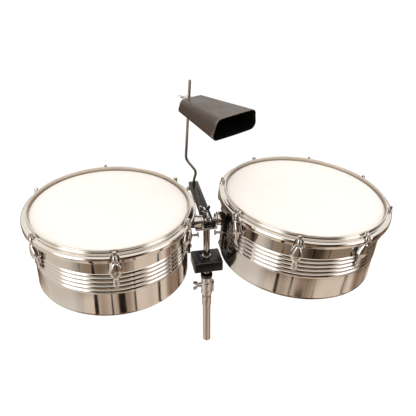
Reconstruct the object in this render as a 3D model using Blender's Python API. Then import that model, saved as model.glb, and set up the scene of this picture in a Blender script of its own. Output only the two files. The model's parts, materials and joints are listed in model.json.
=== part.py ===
"""A pair of tunable shell drums (timbales) on a shared bracket, with a cowbell on a cranked rod.

The origin is the centre of the stand tube's lower end. +Z is up, +X runs from the smaller drum to
the larger one, and -Y is the side where the player's near edge of the drums is.
"""

import math

import bmesh
import bpy
from mathutils import Matrix, Vector

# Driving dimensions, in metres and degrees.
GAP = 0.0003  # left between pieces that touch

SEGMENTS = 24  # facets round a shell, a multiple of both lug counts
SMALL_STEPS = 8  # round a screw or a bore
TUBE_STEPS = 16
SHELL_RADII = {"left": 0.1651, "right": 0.1778}  # 13 inch and 14 inch shells
SHELL_DEPTH = 0.165  # playing edge of the hoop to the open bottom
SHELL_WALL = 0.0012
BEAD_COUNT = 5
BEAD_PITCH = 0.010
BEAD_HEIGHT = 0.0018
BEADS_BELOW_LIP = 0.0595

FILM_DROP = 0.0080  # the film lies this far under the hoop's top edge
FILM_THICK = 0.0010
FLESH_HOOP_TOP = 0.0116
FLESH_HOOP_HEIGHT = 0.0040
FLESH_HOOP_REACH = 0.0052  # its outer side, out from the shell

HOOP_WALL_INNER = 0.0028  # out from the shell
HOOP_WALL_OUTER = 0.0044
HOOP_BAND_FOOT = 0.0233  # below the lip
HOOP_SHEET = 0.0016

LUG_COUNTS = {"left": 6, "right": 8}
LUG_START = {"left": -90.0, "right": -113.0}  # azimuth of the lug nearest the player
ROD_RADIUS = 0.0029
ROD_CLEARANCE = 0.0004
ROD_COLLAR_RADIUS = ROD_RADIUS + 0.0026
ROD_REACH = FLESH_HOOP_REACH + ROD_COLLAR_RADIUS + 0.0021  # axis of a tension rod, out from the shell
HOOP_BAND_REACH = ROD_REACH + 0.0042
ROD_HEAD_HALF = 0.0031
ROD_HEAD_HEIGHT = 0.0080
ROD_TIP = 0.0440  # below the lip
EAR_TOP = 0.0181  # seat of the rod's collar in the hoop, below the lip
EAR_SHEET = 0.0025
LUG_TOP = 0.0240
LUG_FOOT = 0.0900
LUG_HOLE_DEPTH = 0.0230
LUG_BULB_HALF = 0.0138
LUG_REACH = ROD_REACH + ROD_RADIUS + 0.0033

TILT_FACE = 0.0300  # the plane where each pair of ratchet discs meets, from the middle
TILT_BELOW_LIP = 0.0640
SHELL_STANDOFF = 0.0150  # from that plane to the shell
LEAN = {"left": 1.1, "right": 4.8}  # how far each drum's axis leans towards +X
TILT = {"left": 1.0, "right": 1.0}  # forward tilt at rest
DISC_RADIUS = 0.0155
DISC_THICK = 0.0075
HUB_RADIUS = 0.0125
OUTER_DISC_THICK = 0.0085
EAR_REACH = {"left": 0.0200, "right": 0.0105}  # bracket ear's inner face, in from the disc plane
EAR_THICK = {"left": 0.0030, "right": 0.0027}
EAR_RADIUS = 0.0120
TILT_BOLT_RADIUS = 0.0032
TILT_BOLT_HEAD = 0.0045
PLATE_THICK = 0.0048
PLATE_HALF = 0.0115
PLATE_FOOT = 0.0800  # below the tilt axis
LOCK_BOLT_Y = 0.0090
LOCK_BOLT_DROP = 0.0315
LOCK_KNOB_RADIUS = 0.0065
LOCK_KNOB_REACH = 0.0110  # the knob's outer face, in from the disc plane
LOCK_SHANK_RADIUS = 0.0030

POST_RADIUS = 0.0074
POST_CLEARANCE = 0.0004
TUBE_INNER = POST_RADIUS + POST_CLEARANCE
TUBE_OUTER = TUBE_INNER + 0.0017
TUBE_LENGTH = 0.160
PLUG_HEIGHT = 0.012
SLEEVE_BOTTOM = 0.109
SLEEVE_TOP = 0.141
SLEEVE_OUTER = TUBE_OUTER + 0.0018
CLAMP_BOTTOM = 0.150
CLAMP_TOP = 0.2065
CLAMP_OUTER = TUBE_OUTER + 0.0043
CLAMP_NECK = TUBE_OUTER + 0.0023
POST_DROP = 0.0200  # how far down the post can slide
POST_BOTTOM = PLUG_HEIGHT + POST_DROP + 0.0020
CLAMP_BOLT_HEIGHT = 0.1745
CLAMP_BOSS_REACH = CLAMP_OUTER + 0.0047
CLAMP_BOSS_RADIUS = 0.0060
WING_SHANK_RADIUS = 0.0030

BLOCK_HALF_X = 0.0335
BLOCK_HALF_Y = 0.0280
BLOCK_BOTTOM = 0.229
BLOCK_TOP = 0.257
BLOCK_BEVEL = 0.0025
POST_SEAT = 0.0210  # how deep the post stands in the block
UPRIGHT_SEAT = 0.0045
BRACKET_BOTTOM = 0.3355
BRACKET_TOP = 0.3395
TILT_HEIGHT = BRACKET_TOP + DISC_RADIUS + 0.0005
BRACKET_FRONT = -0.0100
BRACKET_BACK = 0.0620
BRACKET_SHOULDER = 0.0160  # behind this the bracket is only as wide as the arm
BRACKET_LEFT = -0.0265
BRACKET_RIGHT = 0.0225

ARM_X = 0.0055
ARM_WIDTH = 0.0240
ARM_HEIGHT = 0.0080
ARM_WALL = 0.0020
ARM_NEAR = -0.0050
ARM_FAR = 0.2020
ARM_BOLTS_Y = (POST_RADIUS + 0.0026, 0.0490)
ARM_TRAVEL = 0.020
ARM_WING_RADII = (0.0115, 0.0125)
ARM_WING_TURNS = (90.0, 0.0)

HOLDER_NEAR = 0.128
HOLDER_FAR = 0.2005
HOLDER_HALF = 0.0095
HOLDER_HEIGHT = 0.0120
ROD_Y = 0.1920
BELL_ROD_RADIUS = 0.0032
BELL_ROD_FOOT = 0.3200
ROD_LOCK_RADIUS = 0.0022
ROD_ROUTE = ((ARM_X, ROD_Y, 0.3560), (0.0125, 0.1920, 0.3790), (-0.0127, 0.1970, 0.4146))
ROD_TOP = (0.0003, 0.1940, 0.6146)
ROD_BEND = 0.0100

BELL_PLACE = (-0.0006, 0.1747, 0.5650)  # middle of the closed end
BELL_YAW = -55.5
BELL_PITCH = 5.6
BELL_ROLL = -4.2
BELL_LENGTH = 0.138
BELL_MOUTH = (0.1325, 0.0490)
BELL_END = (0.0753, 0.0301)
BELL_FLARE = 1.08  # width along the bottom over width along the top
BELL_WALL = 0.0015
BELL_CORNER = 0.0155
BELL_CLAMP_HALF = 0.0085
BELL_CLAMP_BACK = 0.0300
BELL_WING_RADIUS = 0.0110
BELL_WING_TURN = 112.0
BELL_SCREW_RADIUS = 0.0025


def clear_scene():
    """Removes what the scene holds at the start."""
    for obj in list(bpy.data.objects):
        bpy.data.objects.remove(obj, do_unlink=True)


def linear(hex_colour):
    """Turns an sRGB hex colour into a linear RGBA tuple."""
    parts = [int(hex_colour[i : i + 2], base=16) / 255 for i in (0, 2, 4)]
    return tuple(c / 12.92 if c <= 0.04045 else ((c + 0.055) / 1.055) ** 2.4 for c in parts) + (1.0,)


FINISHES = {
    "chrome": ("C9C2BC", 1.0, 0.08),
    "film": ("F4EFE4", 0.0, 0.45),
    "black_enamel": ("15130F", 0.0, 0.25),
    "bell_enamel": ("4A4440", 0.3, 0.45),
    "black_plastic": ("1A1918", 0.0, 0.50),
}


def material(node, finish):
    """A Principled material for one node."""
    colour, metallic, roughness = FINISHES[finish]
    made = bpy.data.materials.new(f"{node}_{finish}")
    made.use_nodes = True
    shader = made.node_tree.nodes["Principled BSDF"]
    shader.inputs["Base Color"].default_value = linear(colour)
    shader.inputs["Metallic"].default_value = metallic
    shader.inputs["Roughness"].default_value = roughness
    return made


def add_object(name, shape, frame, finish=None, sharp=35.0):
    """Turns a bmesh into an object at frame. With no finish it is a hidden cutter."""
    bmesh.ops.remove_doubles(shape, verts=shape.verts, dist=1e-6)
    bmesh.ops.recalc_face_normals(shape, faces=shape.faces)
    mesh = bpy.data.meshes.new(name)
    shape.to_mesh(mesh)
    shape.free()
    obj = bpy.data.objects.new(name, mesh)
    bpy.context.scene.collection.objects.link(obj)
    obj.matrix_world = frame
    if finish:
        mesh.materials.append(material(name, finish))
        mesh.shade_smooth()
        mesh.set_sharp_from_angle(angle=math.radians(sharp))
    else:
        obj.hide_render = True
        obj.display_type = "WIRE"
    return obj


def combine(obj, tool_shape, operation):
    """Adds an exact Boolean of obj with the bmesh tool_shape, given in obj's own frame."""
    tool = add_object(f"{obj.name}_{operation.lower()}_{len(obj.modifiers)}", tool_shape, obj.matrix_world)
    modifier = obj.modifiers.new(operation.title(), "BOOLEAN")
    modifier.operation = operation
    modifier.solver = "EXACT"
    modifier.object = tool


def turned(profile, steps, turn=None):
    """Spins (radius, height) points round Z. A profile that touches the axis is open there."""
    shape = bmesh.new()
    points = [shape.verts.new((radius, 0.0, height)) for radius, height in profile]
    edges = [shape.edges.new(pair) for pair in zip(points, points[1:])]
    if profile[0][0] > 0.0 or profile[-1][0] > 0.0:
        edges.append(shape.edges.new((points[-1], points[0])))
    bmesh.ops.spin(
        shape,
        geom=points + edges,
        cent=(0.0, 0.0, 0.0),
        axis=(0.0, 0.0, 1.0),
        angle=2.0 * math.pi,
        steps=steps,
        use_merge=True,
    )
    bmesh.ops.remove_doubles(shape, verts=shape.verts, dist=1e-6)
    if turn:
        bmesh.ops.transform(shape, matrix=turn, verts=shape.verts)
    return shape


def rod_shape(radius, low, high, steps=SMALL_STEPS, turn=None):
    """A solid round bar along Z between two heights."""
    return turned(((0.0, high), (radius, high), (radius, low), (0.0, low)), steps, turn)


def box_shape(low, high, turn=None):
    """A box between two corners."""
    shape = bmesh.new()
    bmesh.ops.create_cube(shape, size=1.0)
    size = Vector(high) - Vector(low)
    bmesh.ops.scale(shape, vec=size, verts=shape.verts)
    bmesh.ops.translate(shape, vec=(Vector(high) + Vector(low)) / 2, verts=shape.verts)
    if turn:
        bmesh.ops.transform(shape, matrix=turn, verts=shape.verts)
    return shape


def prism(outline, low, high, turn=None):
    """Extrudes an (x, y) outline along Z between two heights."""
    shape = bmesh.new()
    face = shape.faces.new([shape.verts.new((x, y, low)) for x, y in outline])
    made = bmesh.ops.extrude_face_region(shape, geom=[face])["geom"]
    moved = [item for item in made if isinstance(item, bmesh.types.BMVert)]
    bmesh.ops.translate(shape, vec=(0.0, 0.0, high - low), verts=moved)
    if turn:
        bmesh.ops.transform(shape, matrix=turn, verts=shape.verts)
    return shape


def lofted(rings):
    """Skins rings with equal numbers of points, and closes both ends."""
    shape = bmesh.new()
    rows = [[shape.verts.new(point) for point in ring] for ring in rings]
    for row, following in zip(rows, rows[1:]):
        for i, vert in enumerate(row):
            j = (i + 1) % len(row)
            shape.faces.new((vert, row[j], following[j], following[i]))
    shape.faces.new(rows[0])
    shape.faces.new(rows[-1])
    return shape


def gathered(shapes):
    """Puts several bmeshes into one, for a cutter or an added part of many pieces."""
    whole = bmesh.new()
    for shape in shapes:
        mesh = bpy.data.meshes.new("gathered")
        shape.to_mesh(mesh)
        shape.free()
        whole.from_mesh(mesh)
        bpy.data.meshes.remove(mesh)
    return whole


def hexagon(radius):
    """Corners of a hexagon across its points."""
    turns = [math.radians(60 * i) for i in range(6)]
    return [(radius * math.cos(turn), radius * math.sin(turn)) for turn in turns]


def along_x(place=(0.0, 0.0, 0.0)):
    """Turns a shape that runs along Z so that it runs along X, through place."""
    return Matrix.Translation(place) @ Matrix.Rotation(math.radians(90.0), 4, "Y")


def wing_screw(name, shank_radius, shank, hub_radius, reach, height, frame, finish="chrome"):
    """A screw with two wings: Z runs out of its head, and its wings spread along X."""
    hub = 0.45 * height
    profile = (
        (0.0, hub),
        (0.6 * hub_radius, hub),
        (hub_radius, 0.0),
        (shank_radius, 0.0),
        (shank_radius, -shank),
        (0.0, -shank),
    )
    screw = add_object(name, turned(profile, SMALL_STEPS), frame, finish)
    lobe = 0.5 * reach
    outline = [(-0.5 * hub_radius, 0.08 * height), (0.5 * hub_radius, 0.08 * height)]
    outline += [(0.75 * reach, 0.35 * height), (reach, 0.65 * height), (0.92 * reach, height), (lobe, 0.92 * height)]
    outline += [(0.25 * hub_radius, 0.40 * height), (-0.25 * hub_radius, 0.40 * height)]
    outline += [(-lobe, 0.92 * height), (-0.92 * reach, height), (-reach, 0.65 * height)]
    outline += [(-0.75 * reach, 0.35 * height)]
    half = 0.35 * hub_radius
    combine(screw, prism(outline, -half, half, Matrix.Rotation(math.radians(90.0), 4, "X")), "UNION")
    return screw


def pivot_frame(side):
    """The frame at a drum's tilt pivot: X runs out to the drum, Z up along the shell."""
    sign = -1.0 if side == "left" else 1.0
    lean = Matrix.Rotation(math.radians(LEAN[side]), 4, "Y")
    outwards = Matrix.Rotation(math.pi if side == "left" else 0.0, 4, "Z")
    return Matrix.Translation((sign * TILT_FACE, 0.0, TILT_HEIGHT)) @ lean @ outwards


def drum_frame(side):
    """The frame at the middle of a drum's lip: Z up along the shell, X towards its first lug."""
    sign = -1.0 if side == "left" else 1.0
    reach = SHELL_RADII[side] + SHELL_STANDOFF
    forward = Matrix.Rotation(sign * math.radians(TILT[side]), 4, "X")
    lip = Matrix.Translation((reach, 0.0, TILT_BELOW_LIP))
    first = math.radians(LUG_START[side]) + (math.pi if side == "left" else 0.0)
    return pivot_frame(side) @ forward @ lip @ Matrix.Rotation(first, 4, "Z")


def lug_angles(side):
    """Angles of a drum's lugs from its first one, in degrees."""
    return [360.0 / LUG_COUNTS[side] * i for i in range(LUG_COUNTS[side])]


def shell_profile(radius):
    """The shell's section: straight wall with a band of rolled beads."""
    top = -(FILM_DROP + FILM_THICK + 0.0017)
    points = [(radius - SHELL_WALL, top), (radius, top), (radius, -BEADS_BELOW_LIP)]
    for i in range(BEAD_COUNT):
        start = BEADS_BELOW_LIP + BEAD_PITCH * i
        points.append((radius + BEAD_HEIGHT, -(start + 0.5 * BEAD_PITCH)))
        points.append((radius, -(start + BEAD_PITCH)))
    points += [(radius, -SHELL_DEPTH), (radius - SHELL_WALL, -SHELL_DEPTH)]
    return points[::-1]


def head_profile(radius):
    """The drum head's section: film, collar and flesh hoop."""
    film = -FILM_DROP
    under = film - FILM_THICK
    top, foot = -FLESH_HOOP_TOP, -(FLESH_HOOP_TOP + FLESH_HOOP_HEIGHT)
    reach = radius + FLESH_HOOP_REACH
    return (
        (0.0, film),
        (radius - 0.0020, film),
        (radius + 0.0022, film - 0.0017),
        (radius + 0.0024, top),
        (reach, top),
        (reach, foot),
        (radius + 0.0006, foot),
        (radius + 0.0006, under - 0.0013),
        (radius - 0.0022, under),
        (0.0, under),
    )


def hoop_profile(radius):
    """The hoop's section: rolled lip, upright wall, flange and turned-down band."""
    inner, outer, band = radius + HOOP_WALL_INNER, radius + HOOP_WALL_OUTER, radius + HOOP_BAND_REACH
    return (
        (inner, 0.0),
        (outer + 0.0006, 0.0),
        (outer + 0.0010, -0.0018),
        (outer, -0.0034),
        (outer, -0.0085),
        (band - 0.0040, -0.0100),
        (band - 0.0006, -0.0122),
        (band, -0.0165),
        (band - 0.0006, -HOOP_BAND_FOOT),
        (band - 0.0006 - HOOP_SHEET, -HOOP_BAND_FOOT),
        (band - HOOP_SHEET, -0.0165),
        (band - 0.0006 - HOOP_SHEET, -0.0135),
        (band - 0.0046, -0.0116),
        (inner, -0.0106),
    )


def hoop_seats(radius, side):
    """Notches, cups and holes for the rods in a hoop, each as one bmesh."""
    cup_start = FLESH_HOOP_REACH + 0.0004
    cup_end = HOOP_BAND_REACH + 0.0008
    web_end = ROD_REACH - ROD_COLLAR_RADIUS - 0.0005
    half = ROD_COLLAR_RADIUS + 0.0008
    foot = EAR_TOP + EAR_SHEET
    cup = (
        (radius + cup_start, -0.0098),
        (radius + web_end, -0.0098),
        (radius + web_end, -EAR_TOP),
        (radius + cup_end, -EAR_TOP),
        (radius + cup_end, -foot),
        (radius + cup_start, -foot),
    )
    upright = Matrix.Rotation(math.radians(90.0), 4, "X")
    notches, cups, holes = [], [], []
    for angle in lug_angles(side):
        turn = Matrix.Rotation(math.radians(angle), 4, "Z")
        notches.append(
            box_shape(
                (radius + cup_start + 0.0006, -half, -HOOP_BAND_FOOT - 0.01),
                (radius + cup_end + 0.01, half, -0.0080),
                turn,
            )
        )
        cups.append(prism(cup, -half - 0.0006, half + 0.0006, turn @ upright))
        middle = turn @ Matrix.Translation((radius + ROD_REACH, 0.0, 0.0))
        bore = ROD_RADIUS + ROD_CLEARANCE
        holes.append(rod_shape(bore, -foot - 0.005, -EAR_TOP + 0.005, SMALL_STEPS, middle))
    return gathered(notches), gathered(cups), gathered(holes)


def lug_shape():
    """A cast lug: X runs out from the shell's face, and heights are below the lip."""
    back, clear = GAP, BEAD_HEIGHT + GAP
    span = LUG_FOOT - LUG_TOP
    sections = (
        (0.00, back + 0.0040, LUG_REACH - 0.0005, 0.45),
        (0.14, back + 0.0020, LUG_REACH - 0.0002, 0.70),
        (0.34, back, LUG_REACH, 1.00),
        (0.46, back, LUG_REACH - 0.0012, 0.94),
        (0.56, clear, LUG_REACH - 0.0045, 0.60),
        (0.70, clear, 0.0095, 0.42),
        (0.86, clear, 0.0080, 0.46),
        (1.00, clear, 0.0062, 0.34),
    )
    rings = []
    for share, inner, outer, width in sections:
        half = width * LUG_BULB_HALF
        deep = 0.35 * (outer - inner)
        ring = [(inner, -half)]
        for i in range(6):
            angle = math.radians(-90.0 + 36.0 * i)
            x = inner + deep + (outer - inner - deep) * math.cos(angle)
            ring.append((x, half * math.sin(angle)))
        ring.append((inner, half))
        rings.append([(x, y, -(LUG_TOP + share * span)) for x, y in ring])
    return lofted(rings)


def tension_rod_shape():
    """A tension rod on its own axis, heights below the lip: square head, collar and shank."""
    neck, seat = -ROD_HEAD_HEIGHT + 0.0005, -EAR_TOP + GAP
    profile = (
        (0.0, neck + 0.0010),
        (0.70 * ROD_COLLAR_RADIUS, neck),
        (0.80 * ROD_COLLAR_RADIUS, neck - 0.0030),
        (ROD_COLLAR_RADIUS, seat + 0.0030),
        (ROD_COLLAR_RADIUS, seat),
        (ROD_RADIUS, seat),
        (ROD_RADIUS, -ROD_TIP),
        (0.0, -ROD_TIP),
    )
    return turned(profile, SMALL_STEPS)


def build_drum(side):
    """One drum with its hoop, head, lugs, rods, tilt plate and lock bolt."""
    radius = SHELL_RADII[side]
    frame = drum_frame(side)
    add_object(f"{side}_shell", turned(shell_profile(radius), SEGMENTS), frame, "chrome")
    add_object(f"{side}_head", turned(head_profile(radius), SEGMENTS), frame, "film")
    hoop = add_object(f"{side}_hoop", turned(hoop_profile(radius), SEGMENTS), frame, "chrome")
    notches, cups, holes = hoop_seats(radius, side)
    combine(hoop, notches, "DIFFERENCE")
    combine(hoop, cups, "UNION")
    combine(hoop, holes, "DIFFERENCE")
    for number, angle in enumerate(lug_angles(side), start=1):
        around = frame @ Matrix.Rotation(math.radians(angle), 4, "Z")
        on_shell = around @ Matrix.Translation((radius, 0.0, 0.0))
        lug = add_object(f"{side}_lug_{number}", lug_shape(), on_shell, "chrome")
        bore = ROD_RADIUS + ROD_CLEARANCE
        floor = LUG_TOP + LUG_HOLE_DEPTH
        at_rod = Matrix.Translation((ROD_REACH, 0.0, 0.0))
        combine(lug, rod_shape(bore, -floor, -LUG_TOP + 0.01, SMALL_STEPS, at_rod), "DIFFERENCE")
        on_axis = around @ Matrix.Translation((radius + ROD_REACH, 0.0, 0.0))
        rod = add_object(f"{side}_tension_rod_{number}", tension_rod_shape(), on_axis, "chrome")
        half = ROD_HEAD_HALF
        head = box_shape((-half, -half, -ROD_HEAD_HEIGHT), (half, half, 0.0005))
        combine(rod, head, "UNION")
    build_tilt_plate(side)


def build_tilt_plate(side):
    """The plate that carries a drum, with its ratchet disc and its lock bolt."""
    sign = -1.0 if side == "left" else 1.0
    frame = pivot_frame(side) @ Matrix.Rotation(sign * math.radians(TILT[side]), 4, "X")
    back = SHELL_STANDOFF - BEAD_HEIGHT - 0.0004
    front = back - PLATE_THICK
    low, high = (front, -PLATE_HALF, -PLATE_FOOT), (back, PLATE_HALF, 0.0)
    plate = add_object(f"{side}_tilt_plate", box_shape(low, high), frame, "black_enamel")
    disc = rod_shape(DISC_RADIUS, GAP / 2, OUTER_DISC_THICK, TUBE_STEPS, along_x())
    combine(plate, disc, "UNION")
    lock_place = (0.0, -sign * LOCK_BOLT_Y, -LOCK_BOLT_DROP)
    tilt_bore, lock_bore = TILT_BOLT_RADIUS + ROD_CLEARANCE, LOCK_SHANK_RADIUS + ROD_CLEARANCE
    bores = [
        rod_shape(tilt_bore, -0.01, back + 0.01, SMALL_STEPS, along_x()),
        rod_shape(lock_bore, front - 0.01, back + 0.01, SMALL_STEPS, along_x(lock_place)),
    ]
    combine(plate, gathered(bores), "DIFFERENCE")
    profile = (
        (0.0, -LOCK_KNOB_REACH),
        (LOCK_KNOB_RADIUS, -LOCK_KNOB_REACH),
        (LOCK_KNOB_RADIUS, -LOCK_KNOB_REACH + 0.0022),
        (LOCK_SHANK_RADIUS, -LOCK_KNOB_REACH + 0.0022),
        (LOCK_SHANK_RADIUS, front - 0.0038),
        (0.0052, front - 0.0038),
        (0.0052, front - GAP),
        (LOCK_SHANK_RADIUS, front - GAP),
        (LOCK_SHANK_RADIUS, back),
        (0.0, back),
    )
    bolt_frame = frame @ along_x(lock_place)
    add_object(f"{side}_lock_bolt", turned(profile[::-1], SMALL_STEPS), bolt_frame, "chrome")


def build_stand():
    """The stand's tube with its end plug, sleeve and clamp."""
    still = Matrix.Identity(4)
    profile = ((TUBE_INNER, TUBE_LENGTH), (TUBE_OUTER, TUBE_LENGTH), (TUBE_OUTER, 0.0), (TUBE_INNER, 0.0))
    add_object("stand_tube", turned(profile, TUBE_STEPS), still, "chrome")
    add_object("tube_plug", rod_shape(TUBE_INNER - GAP, 0.0, PLUG_HEIGHT, TUBE_STEPS), still, "black_plastic")
    bore = TUBE_OUTER + GAP
    sleeve = (
        (bore, SLEEVE_TOP),
        (SLEEVE_OUTER, SLEEVE_TOP),
        (SLEEVE_OUTER, SLEEVE_BOTTOM + 0.008),
        (bore + 0.0006, SLEEVE_BOTTOM),
        (bore, SLEEVE_BOTTOM),
    )
    add_object("tube_sleeve", turned(sleeve, TUBE_STEPS), still, "chrome")
    step = TUBE_LENGTH + GAP
    post_bore = POST_RADIUS + POST_CLEARANCE
    groove = CLAMP_BOTTOM + 0.0110
    upper_groove = CLAMP_TOP - 0.0215
    clamp = (
        (post_bore, CLAMP_TOP),
        (CLAMP_OUTER, CLAMP_TOP),
        (CLAMP_OUTER, CLAMP_TOP - 0.0165),
        (CLAMP_NECK, CLAMP_TOP - 0.0170),
        (CLAMP_NECK, upper_groove + 0.0005),
        (CLAMP_OUTER, upper_groove),
        (CLAMP_OUTER, groove + 0.0055),
        (CLAMP_NECK, groove + 0.0050),
        (CLAMP_NECK, groove + 0.0005),
        (CLAMP_OUTER, groove),
        (CLAMP_OUTER, CLAMP_BOTTOM),
        (bore, CLAMP_BOTTOM),
        (bore, step),
        (post_bore, step),
    )
    body = add_object("tube_clamp", turned(clamp, TUBE_STEPS), still, "chrome")
    boss = along_x((0.0, 0.0, CLAMP_BOLT_HEIGHT))
    ear_low = (CLAMP_NECK - 0.001, -0.004, CLAMP_BOTTOM + 0.002)
    ear_high = (CLAMP_OUTER + 0.004, 0.004, upper_groove)
    ears = box_shape(ear_low, ear_high)
    boss_shape = rod_shape(CLAMP_BOSS_RADIUS, -CLAMP_BOSS_REACH, -CLAMP_OUTER + 0.003, TUBE_STEPS, boss)
    combine(body, gathered([boss_shape, ears]), "UNION")
    hole = rod_shape(WING_SHANK_RADIUS + ROD_CLEARANCE, -CLAMP_BOSS_REACH - 0.01, 0.0, SMALL_STEPS, boss)
    combine(body, hole, "DIFFERENCE")
    out = Matrix.Translation((-CLAMP_BOSS_REACH - GAP, 0.0, CLAMP_BOLT_HEIGHT))
    frame = out @ Matrix.Rotation(math.radians(-90.0), 4, "Y")
    shank = CLAMP_BOSS_REACH - POST_RADIUS - POST_CLEARANCE
    wing_screw("clamp_wing_bolt", WING_SHANK_RADIUS, shank, 0.0055, 0.0120, 0.0140, frame)


def build_bracket():
    """The post, the block it stands in, the upright and the bracket that carries the drums."""
    still = Matrix.Identity(4)
    seat = BLOCK_BOTTOM + POST_SEAT
    add_object("post", rod_shape(POST_RADIUS, POST_BOTTOM, seat, TUBE_STEPS), still, "chrome")
    low, high = (-BLOCK_HALF_X, -BLOCK_HALF_Y, BLOCK_BOTTOM), (BLOCK_HALF_X, BLOCK_HALF_Y, BLOCK_TOP)
    shape = box_shape(low, high)
    bmesh.ops.bevel(
        shape, geom=shape.edges[:], offset=BLOCK_BEVEL, affect="EDGES", segments=1, profile=0.5, material=-1
    )
    block = add_object("mount_block", shape, still, "black_enamel")
    bore = POST_RADIUS + POST_CLEARANCE
    wells = [
        rod_shape(bore, BLOCK_BOTTOM - 0.01, seat + POST_CLEARANCE, TUBE_STEPS),
        rod_shape(bore, BLOCK_TOP - UPRIGHT_SEAT - GAP, BLOCK_TOP + 0.01, TUBE_STEPS),
    ]
    combine(block, gathered(wells), "DIFFERENCE")
    upright = rod_shape(POST_RADIUS, BLOCK_TOP - UPRIGHT_SEAT, BRACKET_BOTTOM - GAP, TUBE_STEPS)
    add_object("upright", upright, still, "chrome")
    left, right = ARM_X - ARM_WIDTH / 2, ARM_X + ARM_WIDTH / 2
    outline = (
        (BRACKET_LEFT, BRACKET_FRONT),
        (BRACKET_RIGHT, BRACKET_FRONT),
        (BRACKET_RIGHT, BRACKET_SHOULDER),
        (right, BRACKET_SHOULDER + 0.004),
        (right, BRACKET_BACK),
        (left, BRACKET_BACK),
        (left, BRACKET_SHOULDER + 0.004),
        (BRACKET_LEFT, BRACKET_SHOULDER),
    )
    bracket = add_object("top_bracket", prism(outline, BRACKET_BOTTOM, BRACKET_TOP), still, "chrome")
    sunk = TILT_HEIGHT - (BRACKET_BOTTOM + BRACKET_TOP) / 2
    for side in ("left", "right"):
        frame = pivot_frame(side)
        inner = -EAR_REACH[side]
        outer = inner + EAR_THICK[side]
        turns = [math.radians(15 * i) for i in range(13)]
        arc = [(EAR_RADIUS * math.cos(turn), EAR_RADIUS * math.sin(turn)) for turn in turns]
        ear = [(EAR_RADIUS, -sunk)] + arc + [(-EAR_RADIUS, -sunk)]
        facing = Matrix(((0, 0, 1, 0), (1, 0, 0, 0), (0, 1, 0, 0), (0, 0, 0, 1)))
        combine(bracket, prism(ear, inner, outer, frame @ facing), "UNION")
    holes = []
    for side in ("left", "right"):
        reach = EAR_REACH[side]
        hole = rod_shape(TILT_BOLT_RADIUS + ROD_CLEARANCE, -reach - 0.01, -reach + 0.01, SMALL_STEPS, along_x())
        bmesh.ops.transform(hole, matrix=pivot_frame(side), verts=hole.verts)
        holes.append(hole)
    for y in ARM_BOLTS_Y:
        middle = Matrix.Translation((ARM_X, y, 0.0))
        bore = WING_SHANK_RADIUS + ROD_CLEARANCE
        holes.append(rod_shape(bore, BRACKET_BOTTOM - 0.01, BRACKET_TOP + 0.01, SMALL_STEPS, middle))
    combine(bracket, gathered(holes), "DIFFERENCE")
    for side in ("left", "right"):
        build_tilt_fixed(side)


def build_tilt_fixed(side):
    """The ratchet disc on the bracket's ear and the bolt through the tilt axis."""
    frame = pivot_frame(side)
    start = -EAR_REACH[side] + EAR_THICK[side] + GAP
    bore = TILT_BOLT_RADIUS + ROD_CLEARANCE
    step = max(-DISC_THICK, start + 0.0005)
    profile = (
        (bore, start),
        (HUB_RADIUS, start),
        (HUB_RADIUS, step - 0.0003),
        (DISC_RADIUS, step),
        (DISC_RADIUS, -GAP / 2),
        (bore, -GAP / 2),
    )
    add_object(f"{side}_ratchet_disc", turned(profile[::-1], TUBE_STEPS, along_x()), frame, "chrome")
    head = -EAR_REACH[side] - GAP
    tip = SHELL_STANDOFF - BEAD_HEIGHT - 0.0010
    shank = rod_shape(TILT_BOLT_RADIUS, head - 0.0015, tip, SMALL_STEPS, along_x())
    bolt = add_object(f"{side}_tilt_bolt", shank, frame, "chrome")
    combine(bolt, prism(hexagon(TILT_BOLT_HEAD), head - 0.0030, head, along_x()), "UNION")


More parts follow.
